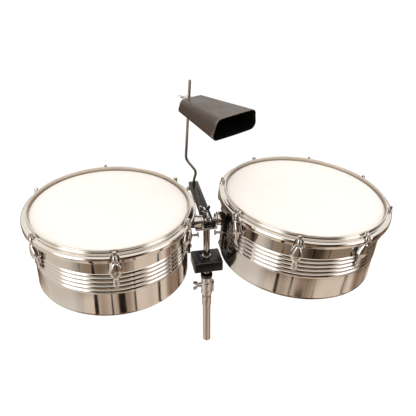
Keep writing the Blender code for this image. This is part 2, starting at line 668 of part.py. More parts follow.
def build_arm():
    """The sliding arm, its wing bolts, and the holder and lock screw of the cowbell rod."""
    still = Matrix.Identity(4)
    bottom = BRACKET_TOP + GAP
    top = bottom + ARM_HEIGHT
    left, right = ARM_X - ARM_WIDTH / 2, ARM_X + ARM_WIDTH / 2
    outside = box_shape((left, ARM_NEAR, bottom), (right, ARM_FAR, top))
    arm = add_object("cowbell_arm", outside, still, "black_enamel")
    wall = ARM_WALL
    low, high = (left + wall, ARM_NEAR + wall, bottom - 0.01), (right - wall, ARM_FAR - wall, top - wall)
    hollow = box_shape(low, high)
    combine(arm, hollow, "DIFFERENCE")
    clear = WING_SHANK_RADIUS + ROD_CLEARANCE
    slot = (ARM_BOLTS_Y[0] - clear, ARM_BOLTS_Y[1] + clear + ARM_TRAVEL)
    rod_bore = BELL_ROD_RADIUS + ROD_CLEARANCE
    cuts = [
        box_shape((ARM_X - clear, slot[0], bottom), (ARM_X + clear, slot[1], top + 0.01)),
        rod_shape(rod_bore, bottom, top + 0.01, TUBE_STEPS, Matrix.Translation((ARM_X, ROD_Y, 0.0))),
    ]
    combine(arm, gathered(cuts), "DIFFERENCE")
    for name, y, reach, turn in zip(("front", "rear"), ARM_BOLTS_Y, ARM_WING_RADII, ARM_WING_TURNS):
        frame = Matrix.Translation((ARM_X, y, top + GAP)) @ Matrix.Rotation(math.radians(turn), 4, "Z")
        shank = top + GAP - BRACKET_BOTTOM + 0.004
        wing_screw(f"arm_wing_bolt_{name}", WING_SHANK_RADIUS, shank, 0.0052, reach, 0.0150, frame)
    holder_top = bottom - GAP
    holder_bottom = holder_top - HOLDER_HEIGHT
    low = (ARM_X - HOLDER_HALF, HOLDER_NEAR, holder_bottom)
    high = (ARM_X + HOLDER_HALF, HOLDER_FAR, holder_top)
    holder = add_object("rod_holder", box_shape(low, high), still, "black_enamel")
    middle = (holder_top + holder_bottom) / 2
    side_bore = along_x((ARM_X, ROD_Y, middle))
    upright_bore = Matrix.Translation((ARM_X, ROD_Y, 0.0))
    bored = rod_shape(rod_bore, holder_bottom - 0.01, holder_top + 0.01, TUBE_STEPS, upright_bore)
    combine(holder, bored, "DIFFERENCE")
    tapped = rod_shape(ROD_LOCK_RADIUS + ROD_CLEARANCE, -HOLDER_HALF - 0.01, 0.0, SMALL_STEPS, side_bore)
    combine(holder, tapped, "DIFFERENCE")
    profile = (
        (0.0, -HOLDER_HALF - 0.0090),
        (0.0055, -HOLDER_HALF - 0.0090),
        (0.0055, -HOLDER_HALF - 0.0010),
        (ROD_LOCK_RADIUS, -HOLDER_HALF - GAP),
        (ROD_LOCK_RADIUS, -BELL_ROD_RADIUS - ROD_CLEARANCE),
        (0.0, -BELL_ROD_RADIUS - ROD_CLEARANCE),
    )
    add_object("rod_lock_screw", turned(profile[::-1], SMALL_STEPS), side_bore, "chrome")


def rounded_route(points, bend, steps=5):
    """Points along straight runs whose corners are eased by a parabola."""
    corners = [Vector(point) for point in points]
    route = [corners[0]]
    for before, corner, after in zip(corners, corners[1:], corners[2:]):
        start = corner + (before - corner).normalized() * bend
        end = corner + (after - corner).normalized() * bend
        for i in range(steps + 1):
            t = i / steps
            route.append((1 - t) ** 2 * start + 2 * t * (1 - t) * corner + t**2 * end)
    return route + [corners[-1]]


def build_cowbell_rod():
    """The cranked rod, whose object stands on the axis of its hole in the arm."""
    base = Vector((ARM_X, ROD_Y, 0.0))
    points = [(ARM_X, ROD_Y, BELL_ROD_FOOT), *ROD_ROUTE, ROD_TOP]
    curve = bpy.data.curves.new("cowbell_rod", "CURVE")
    curve.dimensions = "3D"
    curve.bevel_depth = BELL_ROD_RADIUS
    curve.bevel_resolution = 2
    curve.use_fill_caps = True
    spline = curve.splines.new("POLY")
    route = rounded_route(points, ROD_BEND)
    spline.points.add(len(route) - 1)
    for point, place in zip(spline.points, route):
        point.co = (*(place - base), 1.0)
    rod = bpy.data.objects.new("cowbell_rod", curve)
    bpy.context.scene.collection.objects.link(rod)
    rod.location = base
    curve.materials.append(material("cowbell_rod", "chrome"))


def bell_frame():
    """The frame at the middle of the bell's closed end: X runs to the mouth, Z up."""
    turns = [(BELL_YAW, "Z"), (BELL_PITCH, "Y"), (BELL_ROLL, "X")]
    frame = Matrix.Translation(BELL_PLACE)
    for angle, axis in turns:
        frame = frame @ Matrix.Rotation(math.radians(angle), 4, axis)
    return frame


def bell_ring(x, inset):
    """A rounded outline across the bell at x, moved in by inset."""
    share = x / BELL_LENGTH
    width = BELL_END[0] + (BELL_MOUTH[0] - BELL_END[0]) * share
    height = BELL_END[1] + (BELL_MOUTH[1] - BELL_END[1]) * share
    corner = BELL_CORNER * height / BELL_MOUTH[1]
    points = []
    for up, side, start in ((1, 1, 0), (1, -1, 90), (-1, -1, 180), (-1, 1, 270)):
        flare = 1.0 if up > 0 else BELL_FLARE
        middle = (side * (width / 2 * flare - corner), up * (height / 2 - corner))
        for i in range(4):
            angle = math.radians(start + 30 * i)
            reach = corner - inset
            points.append((x, middle[0] + reach * math.cos(angle), middle[1] + reach * math.sin(angle)))
    return points


def rod_axis():
    """A point on the upper section of the cowbell rod and the section's direction."""
    foot, top = Vector(ROD_ROUTE[-1]), Vector(ROD_TOP)
    return foot, (top - foot).normalized()


def build_cowbell():
    """The bell, the clamp that holds it to the rod, and the clamp's wing bolt."""
    frame = bell_frame()
    stations = (0.0, BELL_LENGTH)
    outside = [bell_ring(x, 0.0) for x in stations]
    inside = [bell_ring(x, BELL_WALL) for x in (BELL_LENGTH, BELL_WALL)]
    add_object("cowbell", lofted(outside + inside), frame, "bell_enamel")
    foot, along = rod_axis()
    to_bell = frame.inverted()
    point = to_bell @ foot
    direction = to_bell.to_3x3() @ along
    crossing = point - direction * (point.z / direction.z)
    low = (-BELL_CLAMP_BACK, crossing.y - BELL_CLAMP_HALF, -0.0080)
    high = (-GAP, crossing.y + BELL_CLAMP_HALF, 0.0080)
    clamp = add_object("bell_clamp", box_shape(low, high), frame, "chrome")
    along_rod = Matrix.Translation(crossing) @ direction.to_track_quat("Z", "Y").to_matrix().to_4x4()
    combine(clamp, rod_shape(BELL_ROD_RADIUS + ROD_CLEARANCE, -0.03, 0.03, TUBE_STEPS, along_rod), "DIFFERENCE")
    bore = BELL_SCREW_RADIUS + ROD_CLEARANCE
    behind = along_x((0.0, crossing.y, 0.0))
    screw_bore = rod_shape(bore, -BELL_CLAMP_BACK - 0.01, crossing.x, SMALL_STEPS, behind)
    combine(clamp, screw_bore, "DIFFERENCE")
    out = Matrix.Translation((-BELL_CLAMP_BACK - GAP, crossing.y, 0.0))
    backwards = Matrix.Rotation(math.radians(-90.0), 4, "Y")
    back = frame @ out @ backwards @ Matrix.Rotation(math.radians(BELL_WING_TURN), 4, "Z")
    shank = BELL_CLAMP_BACK + crossing.x - BELL_ROD_RADIUS - ROD_CLEARANCE
    wing_screw("bell_wing_bolt", BELL_SCREW_RADIUS, shank, 0.0050, BELL_WING_RADIUS, 0.0130, back)


clear_scene()
build_stand()
build_bracket()
build_drum("left")
build_drum("right")
build_arm()
build_cowbell_rod()
build_cowbell()
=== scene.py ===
"""A pair of timbales on a shared bracket, with a cowbell on a cranked rod, over the CAD frame."""

import json
import logging
import math
from dataclasses import dataclass
from enum import Enum

import bmesh
import bpy
from mathutils import Matrix, Vector

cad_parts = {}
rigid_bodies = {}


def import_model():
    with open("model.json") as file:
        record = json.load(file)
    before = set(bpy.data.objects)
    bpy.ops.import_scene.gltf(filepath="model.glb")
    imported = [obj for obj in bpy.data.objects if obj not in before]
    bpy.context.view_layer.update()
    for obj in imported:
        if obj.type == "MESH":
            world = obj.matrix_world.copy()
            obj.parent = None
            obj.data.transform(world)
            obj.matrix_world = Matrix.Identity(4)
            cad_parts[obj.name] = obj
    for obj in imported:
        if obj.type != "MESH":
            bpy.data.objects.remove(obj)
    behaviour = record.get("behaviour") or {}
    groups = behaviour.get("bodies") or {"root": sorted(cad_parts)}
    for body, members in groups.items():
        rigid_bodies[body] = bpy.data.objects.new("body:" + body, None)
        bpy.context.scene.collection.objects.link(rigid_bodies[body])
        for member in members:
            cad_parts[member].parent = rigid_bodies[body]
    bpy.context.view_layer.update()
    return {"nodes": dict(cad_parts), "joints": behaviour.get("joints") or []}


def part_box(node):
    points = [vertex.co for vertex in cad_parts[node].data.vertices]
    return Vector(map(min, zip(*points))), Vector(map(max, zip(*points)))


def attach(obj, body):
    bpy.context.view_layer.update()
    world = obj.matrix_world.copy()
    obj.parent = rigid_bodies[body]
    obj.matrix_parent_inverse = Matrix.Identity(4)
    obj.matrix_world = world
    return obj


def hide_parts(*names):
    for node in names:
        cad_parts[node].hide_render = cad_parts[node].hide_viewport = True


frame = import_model()
JOINTS = {joint["name"]: joint for joint in frame["joints"]}
LOG = logging.getLogger("timbales")
Tree = bpy.types.NodeTree
Socket = bpy.types.NodeSocket
Shape = bmesh.types.BMesh

MM = 0.001
STILL = Matrix.Identity(4)
BACKWARDS = Matrix.Rotation(math.radians(-90.0), 4, "Y")  # lays Z on -X
FACING_X = Matrix(((0, 0, 1, 0), (1, 0, 0, 0), (0, 1, 0, 0), (0, 0, 0, 1)))  # lays (x, y) on (y, z)


class Side(Enum):
    """Which drum: its name in the frame."""

    LEFT = "left"
    RIGHT = "right"


class Wear(Enum):
    """How a finish has aged, and for one kind the painted top light on it."""

    POLISHED = "fine rubbing marks only"
    EDGES = "bare metal showing along the edges"
    DUSTED = "worn edges, and dust lying on what faces up"


def linear(hex_colour: str) -> tuple[float, ...]:
    """Turns an sRGB hex colour into a linear RGBA tuple.

    Args:
        hex_colour: six hex digits.

    Returns:
        Four floats, the last one 1.
    """
    parts = [int(hex_colour[i : i + 2], base=16) / 255 for i in (0, 2, 4)]
    return tuple(c / 12.92 if c <= 0.04045 else ((c + 0.055) / 1.055) ** 2.4 for c in parts) + (1.0,)


def add_node(
    tree: Tree, kind: str, settings: dict | None = None, inputs: dict | None = None
) -> bpy.types.Node:
    """Adds a shader node with its settings and inputs.

    Args:
        tree: the node tree.
        kind: the node's type name.
        settings: attribute name to value.
        inputs: socket name or number to a value, or to the output that feeds it.

    Returns:
        The new node.
    """
    node = tree.nodes.new(kind)
    for name, value in (settings or {}).items():
        setattr(node, name, value)
    for name, value in (inputs or {}).items():
        if isinstance(value, bpy.types.NodeSocket):
            tree.links.new(value, node.inputs[name])
        else:
            node.inputs[name].default_value = value
    return node


@dataclass(frozen=True)
class Finish:
    """A material, how it was made and how it has worn.

    Args:
        name: what it is and how it was made.
        colour: sRGB hex of the clean surface.
        metallic: 1 for bare or plated metal.
        roughness: lowest and highest roughness over the surface.
        cloud_mm: size of the patches between those two.
        grain_mm: size of the fine relief.
        grain_depth_mm: height of the fine relief.
        ripple_mm: height of slow upright waves in a rolled sheet, read from the piece's own map, or 0.
        bare: sRGB hex that shows through on worn edges.
        wear: how it has aged.
        coat: weight of a clear coat.
        specular: strength of the plain mirror of a painted surface.
    """

    name: str
    colour: str
    metallic: float
    roughness: tuple[float, float]
    cloud_mm: float
    grain_mm: float
    grain_depth_mm: float
    ripple_mm: float = 0.0
    bare: str = "B9B2A8"
    wear: Wear = Wear.POLISHED
    coat: float = 0.0
    specular: float = 0.5

    def make(self) -> bpy.types.Material:
        """Builds the material.

        Returns:
            The material, ready for a mesh.
        """
        made = bpy.data.materials.new(self.name)
        made.use_nodes = True
        tree = made.node_tree
        shader = tree.nodes["Principled BSDF"]
        shader.inputs["Metallic"].default_value = self.metallic
        shader.inputs["Coat Weight"].default_value = self.coat
        shader.inputs["Specular IOR Level"].default_value = self.specular
        coords = add_node(tree, "ShaderNodeTexCoord")
        place = coords.outputs["Object"]
        cloud = noise(tree, place, self.cloud_mm, detail=4.0)
        rubbed = noise(tree, stretched(tree, place, (1.0, 1.0, 0.06)), 2.2, detail=2.0)
        low, high = self.roughness
        patches = ranged(tree, cloud, (0.35, 0.68), (low, high))
        marks = ranged(tree, rubbed, (0.56, 0.80), (0.0, 0.5 * (high - low)))
        rough = maths(tree, "ADD", patches, marks)
        grease = ranged(tree, cloud, (0.30, 0.75), (0.0, 0.25))
        colour = mixed(tree, grease, linear(self.colour), self.darker())
        if self.wear is not Wear.POLISHED:
            point = add_node(tree, "ShaderNodeNewGeometry").outputs["Pointiness"]
            edge = ranged(tree, point, (0.53, 0.60), (0.0, 1.0))
            broken = ranged(tree, noise(tree, place, 3.0, detail=5.0), (0.42, 0.60), (0.0, 0.75))
            colour = mixed(tree, maths(tree, "MULTIPLY", edge, broken), colour, linear(self.bare))
        # Dust and painted top light: faces that point up are mixed toward a pale warm grey-brown, in specks,
        # and made rougher.
        if self.wear is Wear.DUSTED:
            normal = add_node(tree, "ShaderNodeNewGeometry").outputs["Normal"]
            up = add_node(tree, "ShaderNodeSeparateXYZ", inputs={0: normal}).outputs["Z"]
            lying = ranged(tree, up, (0.55, 1.0), (0.0, 0.12))
            specks = ranged(tree, noise(tree, place, 1.4, detail=6.0), (0.40, 0.70), (0.3, 1.0))
            dust_and_top_light = maths(tree, "MULTIPLY", lying, specks)
            colour = mixed(tree, dust_and_top_light, colour, linear("A08C7C"))
            rough = maths(tree, "ADD", rough, dust_and_top_light)
        height = noise(tree, place, self.grain_mm, detail=3.0)
        relief = bumped(tree, height, self.grain_depth_mm)
        if self.ripple_mm:
            wave = noise(tree, stretched(tree, coords.outputs["UV"], (1.0, 0.05, 1.0)), 26.0, detail=2.0)
            tree.links.new(bumped(tree, wave, self.ripple_mm).outputs["Normal"], relief.inputs["Normal"])
        tree.links.new(colour, shader.inputs["Base Color"])
        tree.links.new(rough, shader.inputs["Roughness"])
        tree.links.new(relief.outputs["Normal"], shader.inputs["Normal"])
        return made

    def darker(self) -> tuple[float, ...]:
        """The clean colour seen through a thin film of grease."""
        return tuple(0.86 * c for c in linear(self.colour)[:3]) + (1.0,)


def noise(tree: Tree, place: Socket, size_mm: float, detail: float) -> Socket:
    """Adds noise whose features are about size_mm across, and returns its factor.

    Args:
        tree: the node tree.
        place: the coordinates it reads.
        size_mm: size of its features in millimetres.
        detail: how many finer layers it has.

    Returns:
        The socket with its factor.
    """
    made = add_node(
        tree, "ShaderNodeTexNoise", inputs={"Vector": place, "Scale": 1.0 / (size_mm * MM), "Detail": detail}
    )
    return made.outputs["Fac"]


def stretched(tree: Tree, place: Socket, factors: tuple) -> Socket:
    """Adds a mapping that scales the coordinates along each axis, and returns its output."""
    return add_node(tree, "ShaderNodeMapping", inputs={"Vector": place, "Scale": factors}).outputs[0]


def ranged(tree: Tree, value: Socket, source: tuple, target: tuple) -> Socket:
    """Adds a smooth map from one range to another, and returns its output."""
    inputs = {0: value, 1: source[0], 2: source[1], 3: target[0], 4: target[1]}
    return add_node(tree, "ShaderNodeMapRange", {"interpolation_type": "SMOOTHSTEP"}, inputs).outputs[0]


def maths(tree: Tree, operation: str, first: Socket, second: Socket | float = 0.0) -> Socket:
    """Adds a sum of one or two values, and returns its output."""
    return add_node(tree, "ShaderNodeMath", {"operation": operation}, {0: first, 1: second}).outputs[0]


def distance(tree: Tree, value: Socket, centre: float) -> Socket:
    """Adds the distance of a value from a centre, and returns its output."""
    return maths(tree, "ABSOLUTE", maths(tree, "SUBTRACT", value, centre))


def bumped(tree: Tree, height: Socket, depth_mm: float) -> bpy.types.Node:
    """Adds a bump node that makes a height map depth_mm deep, and returns the node."""
    inputs = {"Height": height, "Distance": depth_mm * MM, "Strength": 1.0}
    return add_node(tree, "ShaderNodeBump", inputs=inputs)


def mixed(tree: Tree, share: Socket, first: Socket | tuple, second: Socket | tuple) -> Socket:
    """Adds a colour mix, and returns its output."""
    return add_node(tree, "ShaderNodeMix", {"data_type": "RGBA"}, {0: share, 6: first, 7: second}).outputs[2]


# Rolled and buffed chrome: a near mirror, with slow upright waves left by the rolling.
CHROME_SHEET = Finish(
    "chromed steel sheet, rolled and buffed", "CFCBC6", 1.0, (0.035, 0.10), 55.0, 0.8, 0.0006, ripple_mm=0.01
)
# Pressed chrome: as bright, but its forming leaves it a little less flat.
CHROME_PRESSED = Finish("chromed steel, pressed and buffed", "D2CDC6", 1.0, (0.05, 0.13), 30.0, 1.5, 0.0012)
# Cast zinc under chrome: softer highlights and a faint pitting.
CHROME_CAST = Finish("chromed zinc, die cast", "CCC8C4", 1.0, (0.03, 0.10), 14.0, 1.2, 0.0020)
# Turned chrome on small screws: bright, handled more than the rest.
CHROME_TURNED = Finish("chromed steel, turned", "C9C4BE", 1.0, (0.07, 0.20), 9.0, 0.6, 0.0015)
# Tube that the clamp and hands have dulled.
CHROME_TUBE = Finish("chromed steel tube, drawn", "BDB6AE", 1.0, (0.10, 0.24), 16.0, 0.9, 0.0015)
# The long rod has gone dull where the bell's clamp was moved up and down it.
CHROME_ROD = Finish("chromed steel rod, bent and dulled", "8F867D", 1.0, (0.16, 0.34), 26.0, 0.9, 0.0015)
# Sprayed polyester film: matt and very pale, with the fine tooth of the spray.
FILM = Finish("polyester film, white spray coat", "F6EEE6", 0.0, (0.50, 0.62), 60.0, 0.45, 0.010)
# The flesh hoop under the film: dull drawn aluminium, its grain broad.
ALUMINIUM = Finish("aluminium, extruded and rolled", "C6C4C0", 1.0, (0.28, 0.40), 20.0, 0.8, 0.004)
# Stove enamel: deep black and glossy, chipped to steel along the edges.
BLACK = Finish(
    "steel, black stove enamel", "0B0908", 0.0, (0.18, 0.32), 22.0, 2.4, 0.006,
    bare="5A534C", wear=Wear.EDGES, specular=0.3,
)
# Satin paint over sheet, dark brown, edges rubbed bright; what faces up is mixed toward warm grey-brown in
# specks, dust together with painted top light.
BELL = Finish(
    "steel sheet, satin paint", "33241A", 0.0, (0.30, 0.40), 30.0, 1.1, 0.008,
    bare="A39A90", wear=Wear.DUSTED, coat=0.12, specular=0.45,
)
# The bell's inside: flat, nearly black, and it gives almost nothing back, painted shade that keeps the inside
# dark however it is lit.
INSIDE_PAINTED_SHADE = Finish("steel sheet, near-black paint as painted shade", "030302", 0.0, (0.62, 0.75), 20.0, 0.9, 0.010, specular=0.1)
# The hoop's inner wall and the band's underside are plated but not buffed, so rougher; their colour is a
# little darker than the buffed outside, painted shade for faces that look in or down.
UNBUFFED_PAINTED_SHADE = Finish("chromed steel, unbuffed, darkened as painted shade", "CFC6BA", 1.0, (0.28, 0.42), 12.0, 0.9, 0.004)
# Moulded nylon: matt, with a fine pebble from its mould.
PLASTIC = Finish("nylon, moulded", "191817", 0.0, (0.42, 0.55), 8.0, 0.5, 0.010)

MADE: dict[str, bpy.types.Material] = {}


def material(finish: Finish) -> bpy.types.Material:
    """The one material of a finish, made when first asked for.

    Args:
        finish: what the piece is made of.

    Returns:
        Its material.
    """
    if finish.name not in MADE:
        MADE[finish.name] = finish.make()
    return MADE[finish.name]


def eased(points: list, bend: float, steps: int = 4, closed: bool = True) -> list[tuple]:
    """Rounds the corners of a line of points.

    Args:
        points: the corners, in two or three dimensions.
        bend: how far before and after a corner its curve starts and ends.
        steps: how many straight pieces make the curve.
        closed: whether the last corner joins the first.

    Returns:
        The points of the rounded line, as tuples.
    """
    corners = [Vector(point) for point in points]
    rounded = []
    for i, corner in enumerate(corners):
        if not closed and i in (0, len(corners) - 1):
            rounded.append(corner)
            continue
        back = corners[i - 1] - corner
        ahead = corners[(i + 1) % len(corners)] - corner
        start = corner + back.normalized() * min(bend, 0.48 * back.length)
        end = corner + ahead.normalized() * min(bend, 0.48 * ahead.length)
        for k in range(steps + 1):
            t = k / steps
            rounded.append((1 - t) ** 2 * start + 2 * t * (1 - t) * corner + t**2 * end)
    return [tuple(point) for point in rounded]


def spun(profile: list, steps: int) -> Shape:
    """Spins (radius, height) points round Z. The line closes unless it starts and ends on the axis.

    Args:
        profile: the points, in metres.
        steps: how many sides the round has.

    Returns:
        The bmesh.
    """
    shape = bmesh.new()
    points = [shape.verts.new((radius, 0.0, height)) for radius, height in profile]
    edges = [shape.edges.new(pair) for pair in zip(points, points[1:])]
    if profile[0][0] > 1e-7 or profile[-1][0] > 1e-7:
        edges.append(shape.edges.new((points[-1], points[0])))
    bmesh.ops.spin(
        shape,
        geom=points + edges,
        cent=(0.0, 0.0, 0.0),
        axis=(0.0, 0.0, 1.0),
        angle=2.0 * math.pi,
        steps=steps,
        use_merge=True,
    )
    bmesh.ops.remove_doubles(shape, verts=shape.verts, dist=1e-6)
    return shape


def map_around(shape: Shape, radius: float) -> None:
    """Lays a map on a spun shape: the way round it and the height, both in metres.

    Args:
        shape: the bmesh.
        radius: radius at which the way round is measured.
    """
    layer = shape.loops.layers.uv.new("UVMap")
    for face in shape.faces:
        middle = face.calc_center_median()
        facing = math.atan2(middle.y, middle.x)
        for loop in face.loops:
            turn = math.atan2(loop.vert.co.y, loop.vert.co.x) - facing
            turn = (turn + math.pi) % (2.0 * math.pi) - math.pi
            loop[layer].uv = ((facing + turn) * radius, loop.vert.co.z)


def prism(outline: list, low: float, high: float) -> Shape:
    """Extrudes an (x, y) outline along Z between two heights.

    Args:
        outline: the corners.
        low: height of the first face.
        high: height of the second.

    Returns:
        The bmesh.
    """
    shape = bmesh.new()
    face = shape.faces.new([shape.verts.new((x, y, low)) for x, y in outline])
    made = bmesh.ops.extrude_face_region(shape, geom=[face])["geom"]
    moved = [item for item in made if isinstance(item, bmesh.types.BMVert)]
    bmesh.ops.translate(shape, vec=(0.0, 0.0, high - low), verts=moved)
    return shape


def plate(outline: list, holes: tuple, low: float, high: float) -> Shape:
    """A flat plate with holes: fills between the outlines, then extrudes from one height to the other.

    Args:
        outline: the outer (x, y) corners.
        holes: one outline for each hole.
        low: height of the first face.
        high: height of the second.

    Returns:
        The bmesh.
    """
    shape = bmesh.new()
    for line in (outline, *holes):
        verts = [shape.verts.new((x, y, low)) for x, y in line]
        for i, vert in enumerate(verts):
            shape.edges.new((verts[i - 1], vert))
    bmesh.ops.triangle_fill(shape, use_beauty=True, use_dissolve=False, edges=shape.edges[:])
    made = bmesh.ops.extrude_face_region(shape, geom=shape.faces[:])["geom"]
    moved = [item for item in made if isinstance(item, bmesh.types.BMVert)]
    bmesh.ops.translate(shape, vec=(0.0, 0.0, high - low), verts=moved)
    return shape


def block(low: tuple, high: tuple) -> Shape:
    """A box between two corners.

    Args:
        low: its lowest corner.
        high: its highest corner.

    Returns:
        The bmesh.
    """
    shape = bmesh.new()
    bmesh.ops.create_cube(shape, size=1.0)
    bmesh.ops.scale(shape, vec=Vector(high) - Vector(low), verts=shape.verts)
    bmesh.ops.translate(shape, vec=(Vector(high) + Vector(low)) / 2, verts=shape.verts)
    return shape


def softened(shape: Shape, width: float, segments: int = 2, corner: float = 35.0) -> Shape:
    """Rounds every edge that is sharper than a corner angle, and returns the shape.

    Args:
        shape: the bmesh, which is changed.
        width: how far the rounding reaches.
        segments: how many faces make it.
        corner: the angle in degrees.

    Returns:
        The same bmesh.
    """
    bmesh.ops.recalc_face_normals(shape, faces=shape.faces)
    bmesh.ops.dissolve_limit(
        shape, angle_limit=math.radians(1.0), verts=shape.verts[:], edges=shape.edges[:], delimit={"NORMAL"}
    )
    limit = math.radians(corner)
    sharp = [edge for edge in shape.edges if edge.is_manifold and edge.calc_face_angle() > limit]
    bmesh.ops.bevel(
        shape,
        geom=sharp,
        offset=width,
        segments=segments,
        profile=0.5,
        affect="EDGES",
        clamp_overlap=True,
        material=-1,
    )
    return shape


def skinned(rings: list, ends: bool = True) -> Shape:
    """Skins rings that have equal numbers of points.

    Args:
        rings: lists of points, in order.
        ends: whether to close the first and last ring with a face.

    Returns:
        The bmesh.
    """
    shape = bmesh.new()
    rows = [[shape.verts.new(point) for point in ring] for ring in rings]
    for row, following in zip(rows, rows[1:]):
        for i, vert in enumerate(row):
            j = (i + 1) % len(row)
            shape.faces.new((vert, row[j], following[j], following[i]))
    if ends:
        shape.faces.new(rows[0])
        shape.faces.new(rows[-1])
    return shape


def swept(route: list, radius: float, steps: int = 24) -> Shape:
    """A round bar along a route, with eased ends.

    Args:
        route: points of its middle line.
        radius: radius of the bar.
        steps: how many sides it has.

    Returns:
        The bmesh.
    """
    places = [Vector(point) for point in route]
    ways = [(after - before).normalized() for before, after in zip(places, places[1:])]
    ways = [ways[0]] + [(a + b).normalized() for a, b in zip(ways, ways[1:])] + [ways[-1]]
    side = ways[0].orthogonal().normalized()
    rings = []
    ease = 0.25 * radius
    stations = [(places[0], ways[0], 0.75), (places[0] + ways[0] * ease, ways[0], 1.0)]
    stations += [(place, way, 1.0) for place, way in zip(places[1:-1], ways[1:-1])]
    stations += [(places[-1] - ways[-1] * ease, ways[-1], 1.0), (places[-1], ways[-1], 0.75)]
    for place, way, share in stations:
        side = (side - way * side.dot(way)).normalized()
        across = way.cross(side)
        turns = [2.0 * math.pi * i / steps for i in range(steps)]
        rings.append([place + (side * math.cos(t) + across * math.sin(t)) * radius * share for t in turns])
    return skinned(rings)


def joined(*shapes: Shape) -> Shape:
    """Puts several bmeshes into one.

    Args:
        shapes: the bmeshes, which are freed.

    Returns:
        The new bmesh.
    """
    whole = bmesh.new()
    for shape in shapes:
        mesh = bpy.data.meshes.new("joined")
        shape.to_mesh(mesh)
        shape.free()
        whole.from_mesh(mesh)
        bpy.data.meshes.remove(mesh)
    return whole


def moved(shape: Shape, matrix: Matrix) -> Shape:
    """Moves a shape by a matrix, and returns it."""
    bmesh.ops.transform(shape, matrix=matrix, verts=shape.verts)
    return shape


def arc(radius: float, start: float, end: float, count: int, centre: tuple = (0.0, 0.0)) -> list[tuple]:
    """Points on an arc between two angles in degrees, both ends counted.

    Args:
        radius: radius of the arc.
        start: first angle.
        end: last angle.
        count: how many points.
        centre: its middle.

    Returns:
        The (x, y) points.
    """
    turns = [math.radians(start + (end - start) * i / (count - 1)) for i in range(count)]
    return [(centre[0] + radius * math.cos(t), centre[1] + radius * math.sin(t)) for t in turns]


def turned(profile: tuple, bend: float, sides: int, steps: int = 4, closed: bool = False) -> Shape:
    """Spins (radius, height) corners, eased by bend, round Z.

    Args:
        profile: the corners, in metres.
        bend: how far from a corner its curve starts.
        sides: how many sides the round has.
        steps: how many pieces make each curve.
        closed: whether the last corner joins the first.

    Returns:
        The bmesh.
    """
    return spun(eased(profile, bend, steps, closed), sides)


def threaded(radius: float, low: float, high: float, pitch: float, steps: int = 20) -> Shape:
    """A screw thread along Z between two heights, with a plain core under it.

    Args:
        radius: outer radius.
        low: height where it starts.
        high: height where it ends.
        pitch: rise of one turn.
        steps: how many sides it has.

    Returns:
        The bmesh.
    """
    rows = max(4, int((high - low) / pitch * 4))
    rings = []
    for row in range(rows + 1):
        z = low + (high - low) * row / rows
        end = min(1.0, (z - low) / pitch, (high - z) / pitch)
        ring = []
        for i in range(steps):
            share = (z / pitch + i / steps) % 1.0
            depth = 0.6 * pitch * (1.0 - abs(2.0 * share - 1.0)) * end + 0.5 * pitch * (1.0 - end)
            turn = 2.0 * math.pi * i / steps
            ring.append(((radius - depth) * math.cos(turn), (radius - depth) * math.sin(turn), z))
        rings.append(ring)
    return skinned(rings)


def washer(inner: float, outer: float, low: float, high: float, steps: int = 32) -> Shape:
    """A flat ring with eased edges."""
    profile = eased(((inner, low), (inner, high), (outer, high), (outer, low)), 0.25 * MM, 2)
    return spun(profile, steps)


def hex_head(radius: float, low: float, high: float) -> Shape:
    """A hexagon head whose top corners are turned down.

    Args:
        radius: radius to its points.
        low: height of its seat.
        high: height of its top.

    Returns:
        The bmesh.
    """
    shape = prism(arc(radius, 0.0, 300.0, 6), low, high)
    bmesh.ops.recalc_face_normals(shape, faces=shape.faces)
    top = [face for face in shape.faces if face.normal.z > 0.5]
    inset = bmesh.ops.inset_region(shape, faces=top, thickness=0.16 * radius, depth=0.0, use_even_offset=True)
    rim = {vert for face in inset["faces"] for vert in face.verts if abs(vert.co.z - high) < 1e-7}
    inner = {vert for face in top for vert in face.verts}
    for vert in rim - inner:
        vert.co.z -= 0.10 * (high - low)
    return softened(shape, 0.03 * radius, 1, 25.0)


def wing_screw(hub_radius: float, reach: float, height: float, shank_radius: float, shank: float) -> Shape:
    """A wing screw: Z runs out of its head, and its wings spread along X.

    Args:
        hub_radius: radius of the hub under the wings.
        reach: how far each wing reaches sideways.
        height: how high the wings stand.
        shank_radius: outer radius of its thread.
        shank: length below the hub.

    Returns:
        The bmesh.
    """
    hub = 0.45 * height
    profile = ((0.0, hub), (0.62 * hub_radius, hub), (0.98 * hub_radius, 0.15 * hub))
    profile += ((hub_radius, 0.0), (0.0, 0.0))
    half = ((0.55 * hub_radius, 0.02), (0.74 * reach, 0.24), (1.04 * reach, 0.50), (1.04 * reach, 0.94))
    half += ((0.72 * reach, 1.04), (0.42 * reach, 0.90), (0.22 * hub_radius, 0.40))
    outline = [(x, y * height) for x, y in half] + [(-x, y * height) for x, y in reversed(half)]
    line = eased(outline, 0.16 * reach, 5)
    thick = 0.34 * hub_radius
    wings = softened(prism(line, -thick, thick), 0.7 * thick, 3, 40.0)
    for vert in wings.verts:
        vert.co.z *= 1.0 + 0.5 * (1.0 - min(1.0, abs(vert.co.x) / reach))
    moved(wings, Matrix.Rotation(math.radians(90.0), 4, "X"))
    return joined(turned(profile, 0.9 * MM, 32), wings, threaded(shank_radius, -shank, 0.2 * MM, 0.9 * MM))


